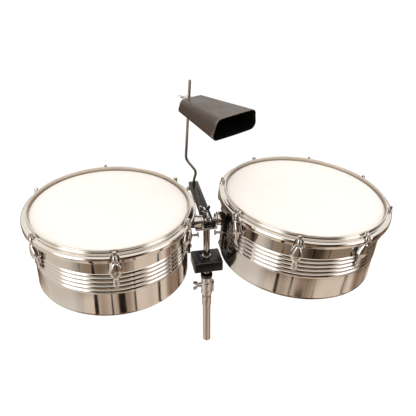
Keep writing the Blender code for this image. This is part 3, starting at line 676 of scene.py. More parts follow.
def finished(
    name: str,
    shape: Shape,
    finish: Finish,
    body: str,
    nodes: tuple | list = (),
    place: Matrix = STILL,
    smooth: float = 38.0,
    inner: Finish | None = None,
) -> bpy.types.Object:
    """Turns a bmesh into a piece of the model, standing in the row frame with its place in its mesh.

    Args:
        name: the piece's name.
        shape: the bmesh, which is freed.
        finish: its Finish.
        body: the CAD body it rides on.
        nodes: the CAD nodes it stands for.
        place: matrix from the shape's own frame to the row frame.
        smooth: faces meeting at less than this many degrees are shaded as one.
        inner: the Finish of the faces whose material number is 1.

    Returns:
        The object.
    """
    bmesh.ops.transform(shape, matrix=place, verts=shape.verts)
    bmesh.ops.recalc_face_normals(shape, faces=shape.faces)
    mesh = bpy.data.meshes.new(name)
    shape.to_mesh(mesh)
    shape.free()
    mesh.materials.append(material(finish))
    if inner:
        mesh.materials.append(material(inner))
    mesh.shade_smooth()
    mesh.set_sharp_from_angle(angle=math.radians(smooth))
    piece = bpy.data.objects.new(name, mesh)
    bpy.context.scene.collection.objects.link(piece)
    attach(piece, body)
    if nodes:
        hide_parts(*nodes)
    LOG.info("%s: %d faces on %s", name, len(mesh.polygons), body)
    return piece


def copied(node: str, width: float) -> Shape:
    """A copy of a CAD node's mesh with its seams merged and its edges rounded, in the row frame.

    Args:
        node: the CAD node's name.
        width: how far the rounding reaches.

    Returns:
        The bmesh.
    """
    shape = bmesh.new()
    shape.from_mesh(frame["nodes"][node].data)
    bmesh.ops.remove_doubles(shape, verts=shape.verts, dist=1e-5)
    return softened(shape, width, 3, 40.0)


def axes(origin: Vector, x: Vector, z: Vector) -> Matrix:
    """A matrix from an origin, an X axis and a Z axis.

    Args:
        origin: where the frame stands.
        x: its X axis.
        z: its Z axis.

    Returns:
        The matrix.
    """
    x, z = Vector(x).normalized(), Vector(z).normalized()
    y = z.cross(x).normalized()
    turn = Matrix((x, y, z)).transposed().to_4x4()
    return Matrix.Translation(origin) @ turn


def along_x(place: tuple = (0.0, 0.0, 0.0)) -> Matrix:
    """Turns a shape that runs along Z so that it runs along X, through place."""
    return Matrix.Translation(place) @ Matrix.Rotation(math.radians(90.0), 4, "Y")


@dataclass
class Drum:
    """One drum: shell, head, hoop, lugs and tension rods. Heights in its fields are below the hoop's lip."""

    side: Side
    rod_reach: float = 12.8 * MM
    seat: float = 18.1 * MM
    depth: float = 165.0 * MM
    wall: float = 1.2 * MM
    beads: int = 5
    bead_pitch: float = 10.0 * MM
    bead_height: float = 1.8 * MM
    beads_start: float = 59.5 * MM
    film: float = 8.0 * MM
    lug_top: float = 24.0 * MM
    lug_span: float = 66.0 * MM
    lug_half: float = 13.8 * MM
    notch: float = 6.6 * MM
    head_half: float = 3.1 * MM
    sides: int = 180

    def __post_init__(self) -> None:
        """Works out the drum's frame and radius from its rods' joints."""
        name = self.side.value
        rods = [JOINTS[key] for key in sorted(JOINTS) if key.startswith(f"{name}_rod_turn_")]
        places = [Vector(joint["pos_m"]) for joint in rods]
        middle = sum(places, Vector()) / len(places)
        up = Vector(rods[0]["axis"]).normalized()
        self.count = len(rods)
        self.radius = (places[0] - middle).length - self.rod_reach
        self.place = axes(middle + up * self.seat, places[0] - middle, up)
        self.body = f"{name}_drum"

    def around(self, number: int) -> Matrix:
        """The frame of a lug: X runs out through it, and the origin is on the drum's axis."""
        return self.place @ Matrix.Rotation(2.0 * math.pi * number / self.count, 4, "Z")

    def shell(self) -> None:
        """The rolled shell, its beads pressed from inside so that the wall stays one thickness."""
        name = self.side.value
        top = self.film + 2.7 * MM
        outer = [(self.radius - 0.6 * MM, -top), (self.radius, -top - 1.0 * MM)]
        outer += [(self.radius, -self.beads_start + step * MM) for step in (24.0, 8.0, 0.0)]
        steps = 14
        for i in range(self.beads * steps):
            share = (i + 1) / steps
            lift = self.bead_height * abs(math.sin(math.pi * share)) ** 0.72
            outer.append((self.radius + lift, -self.beads_start - self.bead_pitch * share))
        low = -self.beads_start - self.bead_pitch * self.beads
        outer += [(self.radius, low - step * MM) for step in (6.0, 24.0, 50.0)]
        hem = ((0.0, 2.0), (0.2, 1.0), (0.1, 0.3), (-0.5, 0.0))
        outer += [(self.radius + out * MM, -self.depth + up * MM) for out, up in hem]
        inner = [(radius - self.wall, z) for radius, z in reversed(outer[1:-1])]
        inner.append((self.radius - self.wall - 0.4 * MM, -top))
        shape = spun(outer + inner, self.sides)
        map_around(shape, self.radius)
        finished(
            f"{name}_drum_shell", shape, CHROME_SHEET, self.body, [f"{name}_shell"],
            place=self.place,
        )

    def head(self) -> None:
        """The film, tucked over the shell's edge into its flesh hoop."""
        name = self.side.value
        r, film = self.radius, -self.film
        over = ((0.0, film), (r - 40.0 * MM, film), (r - 1.6 * MM, film), (r + 1.0 * MM, film - 2.6 * MM))
        over += ((r + 1.4 * MM, -13.0 * MM), (r + 0.9 * MM, -13.0 * MM), (r + 0.5 * MM, film - 2.8 * MM))
        over += ((r - 2.0 * MM, film - 0.5 * MM), (0.0, film - 0.5 * MM))
        shape = turned(over, 1.3 * MM, self.sides)
        finished(f"{name}_film", shape, FILM, self.body, [f"{name}_head"], place=self.place)
        inner, outer, foot, top = r + 0.6 * MM, r + 5.2 * MM, -15.6 * MM, -11.6 * MM
        ring = ((inner, foot), (inner, top), (outer, top), (outer, foot))
        shape = turned(ring, 0.8 * MM, self.sides, 3, closed=True)
        finished(f"{name}_flesh_hoop", shape, ALUMINIUM, self.body, place=self.place)

    def hoop(self) -> None:
        """The pressed hoop: rolled lip, upright wall, and a band that turns in to the wall at each rod."""
        name = self.side.value
        r = self.radius
        section = (
            (2.8, -10.8), (2.8, -0.3), (3.4, 0.0), (4.8, 0.0), (5.7, -0.9), (5.4, -2.3), (4.4, -3.0),
            (4.4, -8.4), (6.5, -9.4), (13.2, -9.9), (16.2, -11.6), (17.0, -16.0), (16.5, -23.0),
            (15.7, -23.3), (15.0, -22.8), (15.5, -16.0), (14.9, -12.8), (12.8, -11.4), (6.5, -11.2),
        )
        corners = [(r + out * MM, z * MM) for out, z in section]
        profile = eased(corners, 1.0 * MM, 3)
        steps = 54
        shape = spun(profile, steps * self.count)
        sector = 2.0 * math.pi / self.count
        wall = r + 5.0 * MM
        for vert in shape.verts:
            turn = math.atan2(vert.co.y, vert.co.x) / sector
            part = turn - math.floor(turn)
            part -= 0.86 * math.sin(2.0 * math.pi * part) / (2.0 * math.pi)
            turn = (math.floor(turn) + part) * sector
            reach = math.hypot(vert.co.x, vert.co.y)
            off = min(part, 1.0 - part) * sector * (r + 13.0 * MM)
            open_share = max(0.0, min(1.0, (off - self.notch) / (3.4 * MM)))
            curl = math.sqrt(max(0.0, 1.0 - (1.0 - open_share) ** 2))
            if reach > wall:
                reach = wall + (reach - wall) * (0.06 + 0.94 * curl)
            vert.co.x, vert.co.y = reach * math.cos(turn), reach * math.sin(turn)
        # Faces inside the wall and under the band take the second, darker finish: painted shade.
        for face in shape.faces:
            middle = face.calc_center_median()
            out = math.hypot(middle.x, middle.y)
            inside = out < r + 3.3 * MM and middle.z < -0.5 * MM
            under = middle.z < -11.2 * MM and out < r + 14.0 * MM
            face.material_index = int(inside or under)
        ears = [self.ear(number) for number in range(self.count)]
        map_around(shape, r)
        whole = joined(shape, *ears)
        finished(
            f"{name}_counter_hoop", whole, CHROME_PRESSED, self.body, [f"{name}_hoop"],
            place=self.place, inner=UNBUFFED_PAINTED_SHADE,
        )

    def ear(self, number: int) -> Shape:
        """The seat under one rod's collar, in the drum's frame.

        Args:
            number: which rod, counted from zero.

        Returns:
            The bmesh.
        """
        r, seat = self.radius, -self.seat / MM
        cup = ((5.0, -9.4), (6.9, -9.6), (6.9, seat), (17.6, seat), (17.6, seat - 2.4), (5.0, seat - 2.4))
        line = [(r + out * MM, z * MM) for out, z in cup]
        outline = eased(line, 0.7 * MM, 3)
        half = self.notch + 0.3 * MM
        shape = moved(prism(outline, -half, half), Matrix.Rotation(math.radians(90.0), 4, "X"))
        for vert in shape.verts:
            out = max(0.0, vert.co.x - (r + 12.0 * MM)) / (5.6 * MM)
            vert.co.y *= 1.0 - 0.30 * min(1.0, out) ** 2
        softened(shape, 0.5 * MM, 2, 50.0)
        return moved(shape, Matrix.Rotation(2.0 * math.pi * number / self.count, 4, "Z"))

    def lug(self, number: int) -> None:
        """One cast lug: a pointed body with a turned-out lip, over a neck that ends in a screwed foot.

        Args:
            number: which lug, counted from zero.
        """
        name = self.side.value
        sections = (
            (0.00, 3.4, 17.6, 0.40), (0.03, 3.0, 18.6, 0.50), (0.14, 1.6, 18.9, 0.72),
            (0.26, 0.5, 19.0, 0.92), (0.36, 0.3, 18.9, 1.00), (0.44, 0.4, 18.4, 0.98),
            (0.50, 0.9, 17.4, 0.88), (0.525, 1.4, 17.2, 0.84), (0.545, 2.1, 14.4, 0.60),
            (0.62, 2.1, 11.6, 0.45), (0.74, 2.1, 9.2, 0.40), (0.86, 2.1, 8.2, 0.46), (0.95, 2.1, 7.4, 0.44),
            (0.99, 2.1, 6.2, 0.34), (1.00, 2.1, 4.6, 0.24),
        )
        rings = []
        for share, inner, outer, width in sections:
            half = width * self.lug_half
            deep = 0.42 * (outer - inner)
            ring = []
            for i in range(28):
                turn = 2.0 * math.pi * i / 28
                up, out = math.sin(turn), math.cos(turn)
                x = inner + deep + (outer - inner - deep) * max(out, 0.0) ** 0.85 + deep * min(out, 0.0)
                y = half * math.copysign(abs(up) ** 0.80, up)
                dip = 5.5 * MM * abs(y) / self.lug_half * math.exp(-(((share - 0.50) / 0.10) ** 2))
                ring.append((self.radius + x * MM, y, -(self.lug_top + share * self.lug_span) + dip))
            rings.append(ring)
        shape = skinned(rings)
        for _ in range(2):
            bmesh.ops.subdivide_edges(shape, edges=shape.edges[:], cuts=1, use_grid_fill=True, smooth=0.6)
        dome = ((0.0, 2.0 * MM), (2.3 * MM, 1.9 * MM), (3.1 * MM, 0.0), (0.0, 0.0))
        screw = turned(dome, 0.9 * MM, 24)
        foot = -(self.lug_top + 0.90 * self.lug_span)
        moved(screw, along_x((self.radius + 7.2 * MM, 0.0, foot)))
        whole = joined(shape, screw)
        finished(
            f"{name}_cast_lug_{number + 1}", whole, CHROME_CAST, self.body, [f"{name}_lug_{number + 1}"],
            place=self.around(number),
        )

    def rod(self, number: int) -> None:
        """One tension rod: square head, collar, washer and thread.

        Args:
            number: which rod, counted from zero.
        """
        name = self.side.value
        half, high = self.head_half, 8.5 * MM
        square = block((-half, -half, -8.0 * MM), (half, half, high - 8.0 * MM))
        softened(square, 0.5 * MM, 2)
        collar = (
            (0.0, -6.6 * MM), (4.2 * MM, -7.2 * MM), (4.3 * MM, -9.6 * MM), (5.5 * MM, -12.6 * MM),
            (5.5 * MM, -15.6 * MM), (4.8 * MM, -16.4 * MM), (0.0, -16.4 * MM),
        )
        shape = joined(
            square,
            turned(collar, 0.8 * MM, 28),
            washer(2.9 * MM, 6.1 * MM, -17.8 * MM, -16.4 * MM),
            spun([(0.0, -16.0 * MM), (2.5 * MM, -16.0 * MM), (2.5 * MM, -26.0 * MM), (0.0, -26.0 * MM)], 20),
            threaded(2.9 * MM, -44.0 * MM, -21.5 * MM, 0.9 * MM),
        )
        place = self.around(number) @ Matrix.Translation((self.radius + self.rod_reach, 0.0, 0.0))
        rod = f"{name}_tension_rod_{number + 1}"
        finished(
            f"{rod}_screw", shape, CHROME_TURNED, f"{name}_rod_{number + 1}", [rod], place=place
        )

    def screws(self) -> None:
        """The screws inside the shell that hold its lugs."""
        name = self.side.value
        heads = []
        for number in range(self.count):
            for share in (0.24, 0.88):
                dome = ((0.0, 2.4 * MM), (3.6 * MM, 2.1 * MM), (4.2 * MM, 0.0), (0.0, 0.0))
                head = joined(turned(dome, MM, 24), washer(MM, 6.0 * MM, -0.9 * MM, 0.0))
                place = (self.radius - self.wall - 0.9 * MM, 0.0, -(self.lug_top + share * self.lug_span))
                moved(head, along_x(place) @ Matrix.Rotation(math.pi, 4, "X"))
                heads.append(moved(head, Matrix.Rotation(2.0 * math.pi * number / self.count, 4, "Z")))
        finished(f"{name}_lug_screws", joined(*heads), CHROME_TURNED, self.body, place=self.place)

    def build(self) -> None:
        """Makes every piece of the drum."""
        self.shell()
        self.head()
        self.hoop()
        for number in range(self.count):
            self.lug(number)
            self.rod(number)
        self.screws()


@dataclass
class TiltMount:
    """The ratchet discs, plate and bolts between the bracket and one drum. X runs out to the drum."""

    side: Side
    disc: float = 15.5 * MM
    hub: float = 12.5 * MM
    fixed: float = 7.5 * MM
    loose: float = 8.5 * MM
    plate_back: float = 12.8 * MM
    plate_thick: float = 4.8 * MM
    plate_half: float = 11.5 * MM
    plate_foot: float = 80.0 * MM
    teeth: int = 36
    tooth: float = 0.45 * MM

    def __post_init__(self) -> None:
        """Reads the pivot and the lock bolt's axis from the joints."""
        name = self.side.value
        tilt = JOINTS[f"{name}_tilt"]
        out = Vector(tilt["axis"]).normalized()
        self.pivot = Vector(tilt["pos_m"])
        self.still = axes(self.pivot, out, Vector((0.0, 0.0, 1.0)) - out * out.z)
        up = Vector(JOINTS[f"{name}_rod_turn_1"]["axis"])
        self.place = axes(self.pivot, out, up)
        self.lock = self.place.inverted() @ Vector(JOINTS[f"{name}_lock_turn"]["pos_m"])
        self.body = f"{name}_drum"

    def ear_reach(self) -> float:
        """How far behind the pivot the fixed disc starts: its node's own width, along the tilt axis."""
        low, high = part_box(f"{self.side.value}_ratchet_disc")
        return (high[0] - low[0]) - 2.0 * self.disc * abs(self.still.col[0][2])

    def toothed(self, start: float, end: float, face: float) -> Shape:
        """A disc round X between two places, its toothed face at the one named.

        Args:
            start: where it starts on X.
            end: where it ends.
            face: whichever of the two has the teeth.

        Returns:
            The bmesh.
        """
        other = end if face == start else start
        inward = 1.0 if other > face else -1.0
        hub_from = face + inward * min(self.fixed, abs(other - face) - 0.2 * MM)
        line = [(3.6 * MM, face), (self.hub - 1.0 * MM, face), (self.disc, face)]
        line += [(self.disc, face + 0.55 * (hub_from - face)), (self.disc - 0.5 * MM, hub_from)]
        line += [(self.hub, hub_from), (self.hub, other - inward * 0.5 * MM), (self.hub - 0.5 * MM, other)]
        line += [(3.6 * MM, other)]
        shape = spun(line, 2 * self.teeth)
        for vert in shape.verts:
            reach = math.hypot(vert.co.x, vert.co.y)
            if abs(vert.co.z - face) < 1e-6 and reach > self.disc - 0.2 * MM:
                step = round(math.atan2(vert.co.y, vert.co.x) / math.pi * self.teeth)
                vert.co.z += self.tooth if step % 2 else -self.tooth
        return moved(shape, along_x())

    def build(self) -> None:
        """Makes both discs, the plate and the bolts."""
        name = self.side.value
        start = -self.ear_reach() - 0.15 * MM
        fixed = self.toothed(start, -0.15 * MM, -0.15 * MM)
        node = f"{name}_ratchet_disc"
        finished(
            f"{name}_fixed_disc", fixed, CHROME_CAST, "bracket", [node], place=self.still,
            smooth=25.0,
        )
        loose = self.toothed(0.15 * MM, self.loose, 0.15 * MM)
        front = self.plate_back - self.plate_thick
        outline = eased(
            (
                (-self.plate_half, -self.plate_foot), (self.plate_half, -self.plate_foot),
                (self.plate_half, 0.0), (0.6 * self.plate_half, self.plate_half),
                (-0.6 * self.plate_half, self.plate_half), (-self.plate_half, 0.0),
            ),
            4.0 * MM,
            5,
        )
        strap = prism(outline, front, self.plate_back)
        moved(softened(strap, 0.7 * MM, 3), FACING_X)
        whole = joined(loose, strap)
        finished(
            f"{name}_tilt_strap", whole, BLACK, self.body, [f"{name}_tilt_plate"],
            place=self.place, smooth=25.0,
        )
        self.bolts(front)

    def bolts(self, front: float) -> None:
        """The tilt bolt, the lock bolt and the plate's lower bolt.

        Args:
            front: where the front of the plate stands.
        """
        name = self.side.value
        low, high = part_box(f"{name}_tilt_bolt")
        inner = self.pivot.x - (high[0] if self.side is Side.LEFT else low[0])
        head = -abs(inner) + 3.0 * MM
        tip = self.plate_back - 0.4 * MM
        shape = joined(
            hex_head(4.6 * MM, -head, -head + 2.9 * MM),
            washer(3.3 * MM, 5.6 * MM, -head - 0.2 * MM, -head + 0.6 * MM),
            threaded(3.2 * MM, -tip, -head, 1.0 * MM),
        )
        bolt = f"{name}_tilt_bolt"
        place = self.still @ BACKWARDS
        finished(f"{bolt}_screw", shape, CHROME_TURNED, "bracket", [bolt], place=place)
        reach = 11.0 * MM
        under = reach - 2.4 * MM
        knob = ((0.0, reach), (4.6 * MM, reach), (6.5 * MM, reach - 0.7 * MM))
        knob += ((6.5 * MM, under), (0.0, under))
        near, far = -front + 3.6 * MM, -front + 0.2 * MM
        collar = ((0.0, near), (5.2 * MM, near), (5.2 * MM, far), (0.0, far))
        shape = joined(
            turned(knob, 0.6 * MM, 36, 3),
            turned(collar, 0.5 * MM, 32, 3),
            threaded(3.0 * MM, -self.plate_back, reach - 2.0 * MM, 1.0 * MM),
        )
        place = self.place @ Matrix.Translation((0.0, self.lock.y, self.lock.z)) @ BACKWARDS
        bolt = f"{name}_lock_bolt"
        finished(f"{bolt}_screw", shape, CHROME_TURNED, f"{name}_lock", [bolt], place=place)
        shape = joined(
            hex_head(5.0 * MM, -front + 1.0 * MM, -front + 4.4 * MM),
            washer(2.9 * MM, 6.3 * MM, -front, -front + 1.0 * MM),
        )
        place = self.place @ Matrix.Translation((0.0, 0.0, -0.82 * self.plate_foot)) @ BACKWARDS
        finished(f"{name}_lower_bolt", shape, CHROME_TURNED, self.body, place=place)


@dataclass
class Stand:
    """The tube with its plug, sleeve and clamp, and the post that slides in it. All stand round Z."""

    steps: int = 64

    def round(
        self, name: str, profile: tuple, finish: Finish, body: str, node: str
    ) -> None:
        """A spun piece, given its (radius, height) corners in metres.

        Args:
            name: the piece's name.
            profile: the corners.
            finish: what it is made of.
            body: the body it rides on.
            node: the CAD node it replaces.
        """
        shape = turned(profile, 0.5 * MM, self.steps, 3, closed=profile[0][0] > 0.0)
        finished(name, shape, finish, body, [node])

    def build(self) -> None:
        """Makes the stand's pieces and the post."""
        low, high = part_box("stand_tube")
        outer, inner = high[0], high[0] - 1.7 * MM
        profile = ((inner, low[2]), (outer, low[2]), (outer, high[2]), (inner, high[2]))
        self.round("tube", profile, CHROME_TUBE, "stand", "stand_tube")
        low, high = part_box("tube_plug")
        dished = low[2] + 0.8 * MM
        profile = ((0.0, dished), (4.0 * MM, dished), (4.8 * MM, low[2]), (high[0], low[2]))
        profile += ((high[0], high[2]), (0.0, high[2]))
        self.round("end_plug", profile, PLASTIC, "stand", "tube_plug")
        self.sleeve(outer)
        self.clamp(outer)
        low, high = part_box("post")
        profile = ((0.0, low[2]), (high[0], low[2]), (high[0], high[2]), (0.0, high[2]))
        self.round("sliding_post", profile, CHROME_TUBE, "post", "post")

    def sleeve(self, tube: float) -> None:
        """The sleeve pressed on the tube, tapered at its foot and grooved near its top.

        Args:
            tube: the tube's outer radius.
        """
        low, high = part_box("tube_sleeve")
        bore, wide = tube + 0.2 * MM, high[0]
        profile = (
            (bore, high[2]), (wide, high[2]), (wide, high[2] - 4.0 * MM),
            (wide - 0.6 * MM, high[2] - 4.6 * MM), (wide - 0.6 * MM, high[2] - 6.0 * MM),
            (wide, high[2] - 6.6 * MM), (wide, low[2] + 8.0 * MM), (bore + 0.6 * MM, low[2]),
            (bore, low[2]),
        )
        self.round("grip_sleeve", profile, CHROME_TUBE, "stand", "tube_sleeve")

    def clamp(self, tube: float) -> None:
        """The split clamp with its boss, ears and wing screw.

        Args:
            tube: the tube's outer radius.
        """
        low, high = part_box("tube_clamp")
        wide = high[1]
        neck, bore = wide - 2.0 * MM, tube + 0.3 * MM
        top, foot = high[2], low[2]
        groove, upper = foot + 11.0 * MM, top - 21.5 * MM
        profile = (
            (8.0 * MM, top), (wide - 0.6 * MM, top), (wide, top - 1.2 * MM), (wide, top - 8.4 * MM),
            (wide - 1.0 * MM, top - 8.8 * MM), (wide - 1.0 * MM, top - 16.2 * MM), (neck, top - 17.0 * MM),
            (neck, upper + 0.5 * MM), (wide, upper), (wide, groove + 5.5 * MM), (neck, groove + 5.0 * MM),
            (neck, groove + 0.5 * MM), (wide, groove), (wide, foot), (bore, foot), (bore, foot + 10.3 * MM),
            (8.0 * MM, foot + 10.3 * MM),
        )
        body = turned(profile, 0.6 * MM, self.steps, 3, closed=True)
        joint = JOINTS["clamp_wing_turn"]
        reach, level = -joint["pos_m"][0] - 0.3 * MM, joint["pos_m"][2]
        root = -wide + 3.0 * MM
        boss = ((0.0, -reach), (5.2 * MM, -reach), (6.0 * MM, -reach + 0.9 * MM))
        boss += ((6.0 * MM, root), (0.0, root))
        shaft = moved(turned(boss, 0.5 * MM, 32, 3), along_x((0.0, 0.0, level)))
        edge = high[0]
        ears = [
            softened(block((wide - 2.5 * MM, y, foot + 2.0 * MM), (edge, y + 3.2 * MM, upper)), 0.7 * MM, 3)
            for y in (-4.0 * MM, 0.8 * MM)
        ]
        whole = joined(body, shaft, *ears)
        finished("split_clamp", whole, CHROME_CAST, "stand", ["tube_clamp"])
        outer, under = wide + 0.15 * MM, top - 8.2 * MM
        collar = ((8.0 * MM, top), (outer, top), (outer, under), (8.0 * MM, under))
        shape = turned(collar, 0.5 * MM, self.steps, 3, closed=True)
        finished("clamp_collar", shape, PLASTIC, "stand")
        screw = wing_screw(5.5 * MM, 12.0 * MM, 14.0 * MM, 3.0 * MM, reach - 7.8 * MM)
        place = Matrix.Translation(joint["pos_m"]) @ BACKWARDS
        finished(
            "clamp_wing_screw", screw, CHROME_CAST, "clamp_wing", ["clamp_wing_bolt"], place=place
        )


@dataclass
class Bracket:
    """The black block on the post, the upright, and the bracket whose ears carry the drums."""

    ear_radius: float = 12.0 * MM

    def build(self) -> None:
        """Makes the block, the upright and the bracket."""
        finished(
            "black_block", copied("mount_block", 0.5 * MM), BLACK, "bracket", ["mount_block"],
            smooth=30.0,
        )
        low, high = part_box("upright")
        profile = ((0.0, low[2]), (high[0], low[2]), (high[0], high[2]), (0.0, high[2]))
        shape = turned(profile, 0.4 * MM, 48, 3)
        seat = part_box("mount_block")[1][2]
        collar = ((7.6 * MM, seat), (10.4 * MM, seat), (10.4 * MM, seat + 2.6 * MM))
        collar += ((7.6 * MM, seat + 3.4 * MM),)
        ring = turned(collar, 0.6 * MM, 48, 3, closed=True)
        finished("bracket_upright", joined(shape, ring), CHROME_TUBE, "bracket", ["upright"])
        self.top()

    def top(self) -> None:
        """The top bracket: a plate that narrows behind the drums, with an ear for each."""
        low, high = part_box("top_bracket")
        arm_low, arm_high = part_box("cowbell_arm")
        top = arm_low[2] - 0.3 * MM
        left, right = arm_low[0], arm_high[0]
        shoulder = 16.0 * MM
        ears = []
        for side in Side:
            mount = TiltMount(side)
            disc = mount.ear_reach()
            disc_low, disc_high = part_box(f"{side.value}_tilt_bolt")
            end = disc_high[0] if side is Side.LEFT else disc_low[0]
            reach = abs(mount.pivot.x - end) - 3.0 * MM
            sunk = mount.pivot.z - (top + low[2]) / 2
            round_top = arc(self.ear_radius, 0.0, 180.0, 25)
            outline = [(self.ear_radius, -sunk), *round_top, (-self.ear_radius, -sunk)]
            ear = softened(prism(outline, -reach, -disc - 0.45 * MM), 0.5 * MM, 3)
            ears.append(moved(ear, mount.still @ FACING_X))
        edges = (low[0], high[0])
        outline = (
            (edges[0], low[1]), (edges[1], low[1]), (edges[1], shoulder), (right, shoulder + 4.0 * MM),
            (right, high[1]), (left, high[1]), (left, shoulder + 4.0 * MM), (edges[0], shoulder),
        )
        line = eased(outline, 3.0 * MM, 5)
        flat = softened(prism(line, low[2], top), 0.6 * MM, 3)
        whole = joined(flat, *ears)
        finished(
            "top_bracket_plate", whole, CHROME_PRESSED, "bracket", ["top_bracket"], smooth=30.0
        )


@dataclass
class Arm:
    """The black channel that slides on the bracket, its wing bolts, and the holder of the cowbell rod."""

    wall: float = 2.0 * MM
    clear: float = 3.4 * MM
    bore: float = 3.6 * MM
    wing_reach: tuple[float, float] = (11.5 * MM, 12.5 * MM)

    def slot_line(self, x: float, start: float, end: float) -> list[tuple]:
        """The outline of the slot: two half circles and the straight sides between them."""
        far = arc(self.clear, 0.0, 180.0, 13, (x, end))
        return far + arc(self.clear, 180.0, 360.0, 13, (x, start))

    def build(self) -> None:
        """Makes the arm and everything on it."""
        low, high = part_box("cowbell_arm")
        x = (low[0] + high[0]) / 2
        bolts = [JOINTS[f"arm_wing_{name}_turn"]["pos_m"] for name in ("front", "rear")]
        travel = -JOINTS["arm_slide"]["range_m"][0]
        rod = JOINTS["rod_swivel"]["pos_m"]
        corners = ((low[0], low[1]), (high[0], low[1]), (high[0], high[1]), (low[0], high[1]))
        outer = eased(corners, 2.5 * MM, 5)
        bore = arc(self.bore, 0.0, 345.0, 24, rod)
        line = self.slot_line(x, bolts[0][1], bolts[1][1] + travel)
        lid = softened(plate(outer, (line, bore), high[2] - self.wall, high[2]), 0.4 * MM, 2)
        inner = [
            tuple(max(low[i] + self.wall, min(high[i] - self.wall, point[i])) for i in (0, 1))
            for point in outer
        ]
        levels = ((inner, high[2] - self.wall), (inner, low[2]), (outer, low[2]), (outer, high[2] - 0.5 * MM))
        skirt = skinned([[(*point, z) for point in ring] for ring, z in levels], ends=False)
        whole = joined(lid, skirt)
        finished("sliding_arm", whole, BLACK, "arm", ["cowbell_arm"], smooth=30.0)
        for name, place, reach, turn in zip(("front", "rear"), bolts, self.wing_reach, (90.0, 0.0)):
            shank = place[2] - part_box("top_bracket")[0][2] + 4.0 * MM
            screw = joined(
                wing_screw(5.2 * MM, reach, 15.0 * MM, 3.0 * MM, shank),
                washer(3.2 * MM, 7.4 * MM, -0.2 * MM, 0.9 * MM),
            )
            bolt = f"arm_wing_bolt_{name}"
            seat = Matrix.Translation((place[0], place[1], high[2] + 0.1 * MM))
            seat = seat @ Matrix.Rotation(math.radians(turn), 4, "Z")
            finished(
                f"{bolt}_screw", screw, CHROME_CAST, f"arm_wing_{name}", [bolt], place=seat
            )
        holder = copied("rod_holder", 0.8 * MM)
        finished("rod_holder_block", holder, BLACK, "arm", ["rod_holder"], smooth=30.0)
        low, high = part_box("rod_lock_screw")
        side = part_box("rod_holder")[0][0]
        out = side - low[0]
        knob = ((0.0, out), (4.6 * MM, out), (5.5 * MM, out - 1.0 * MM), (5.5 * MM, 1.0 * MM))
        knob += ((3.4 * MM, 0.3 * MM), (0.0, 0.3 * MM))
        shape = turned(knob, 0.7 * MM, 48, 3)
        for vert in shape.verts:
            grip = math.hypot(vert.co.x, vert.co.y)
            if grip > 5.2 * MM and round(math.atan2(vert.co.y, vert.co.x) / math.pi * 24) % 2:
                vert.co.x *= 0.94
                vert.co.y *= 0.94
        screw = joined(shape, threaded(2.2 * MM, -(high[0] - side), 0.4 * MM, 0.7 * MM))
        place = Matrix.Translation((side, rod[1], JOINTS["rod_lock_turn"]["pos_m"][2])) @ BACKWARDS
        finished(
            "rod_lock_knob", screw, CHROME_TURNED, "rod_lock", ["rod_lock_screw"], place=place,
            smooth=30.0,
        )


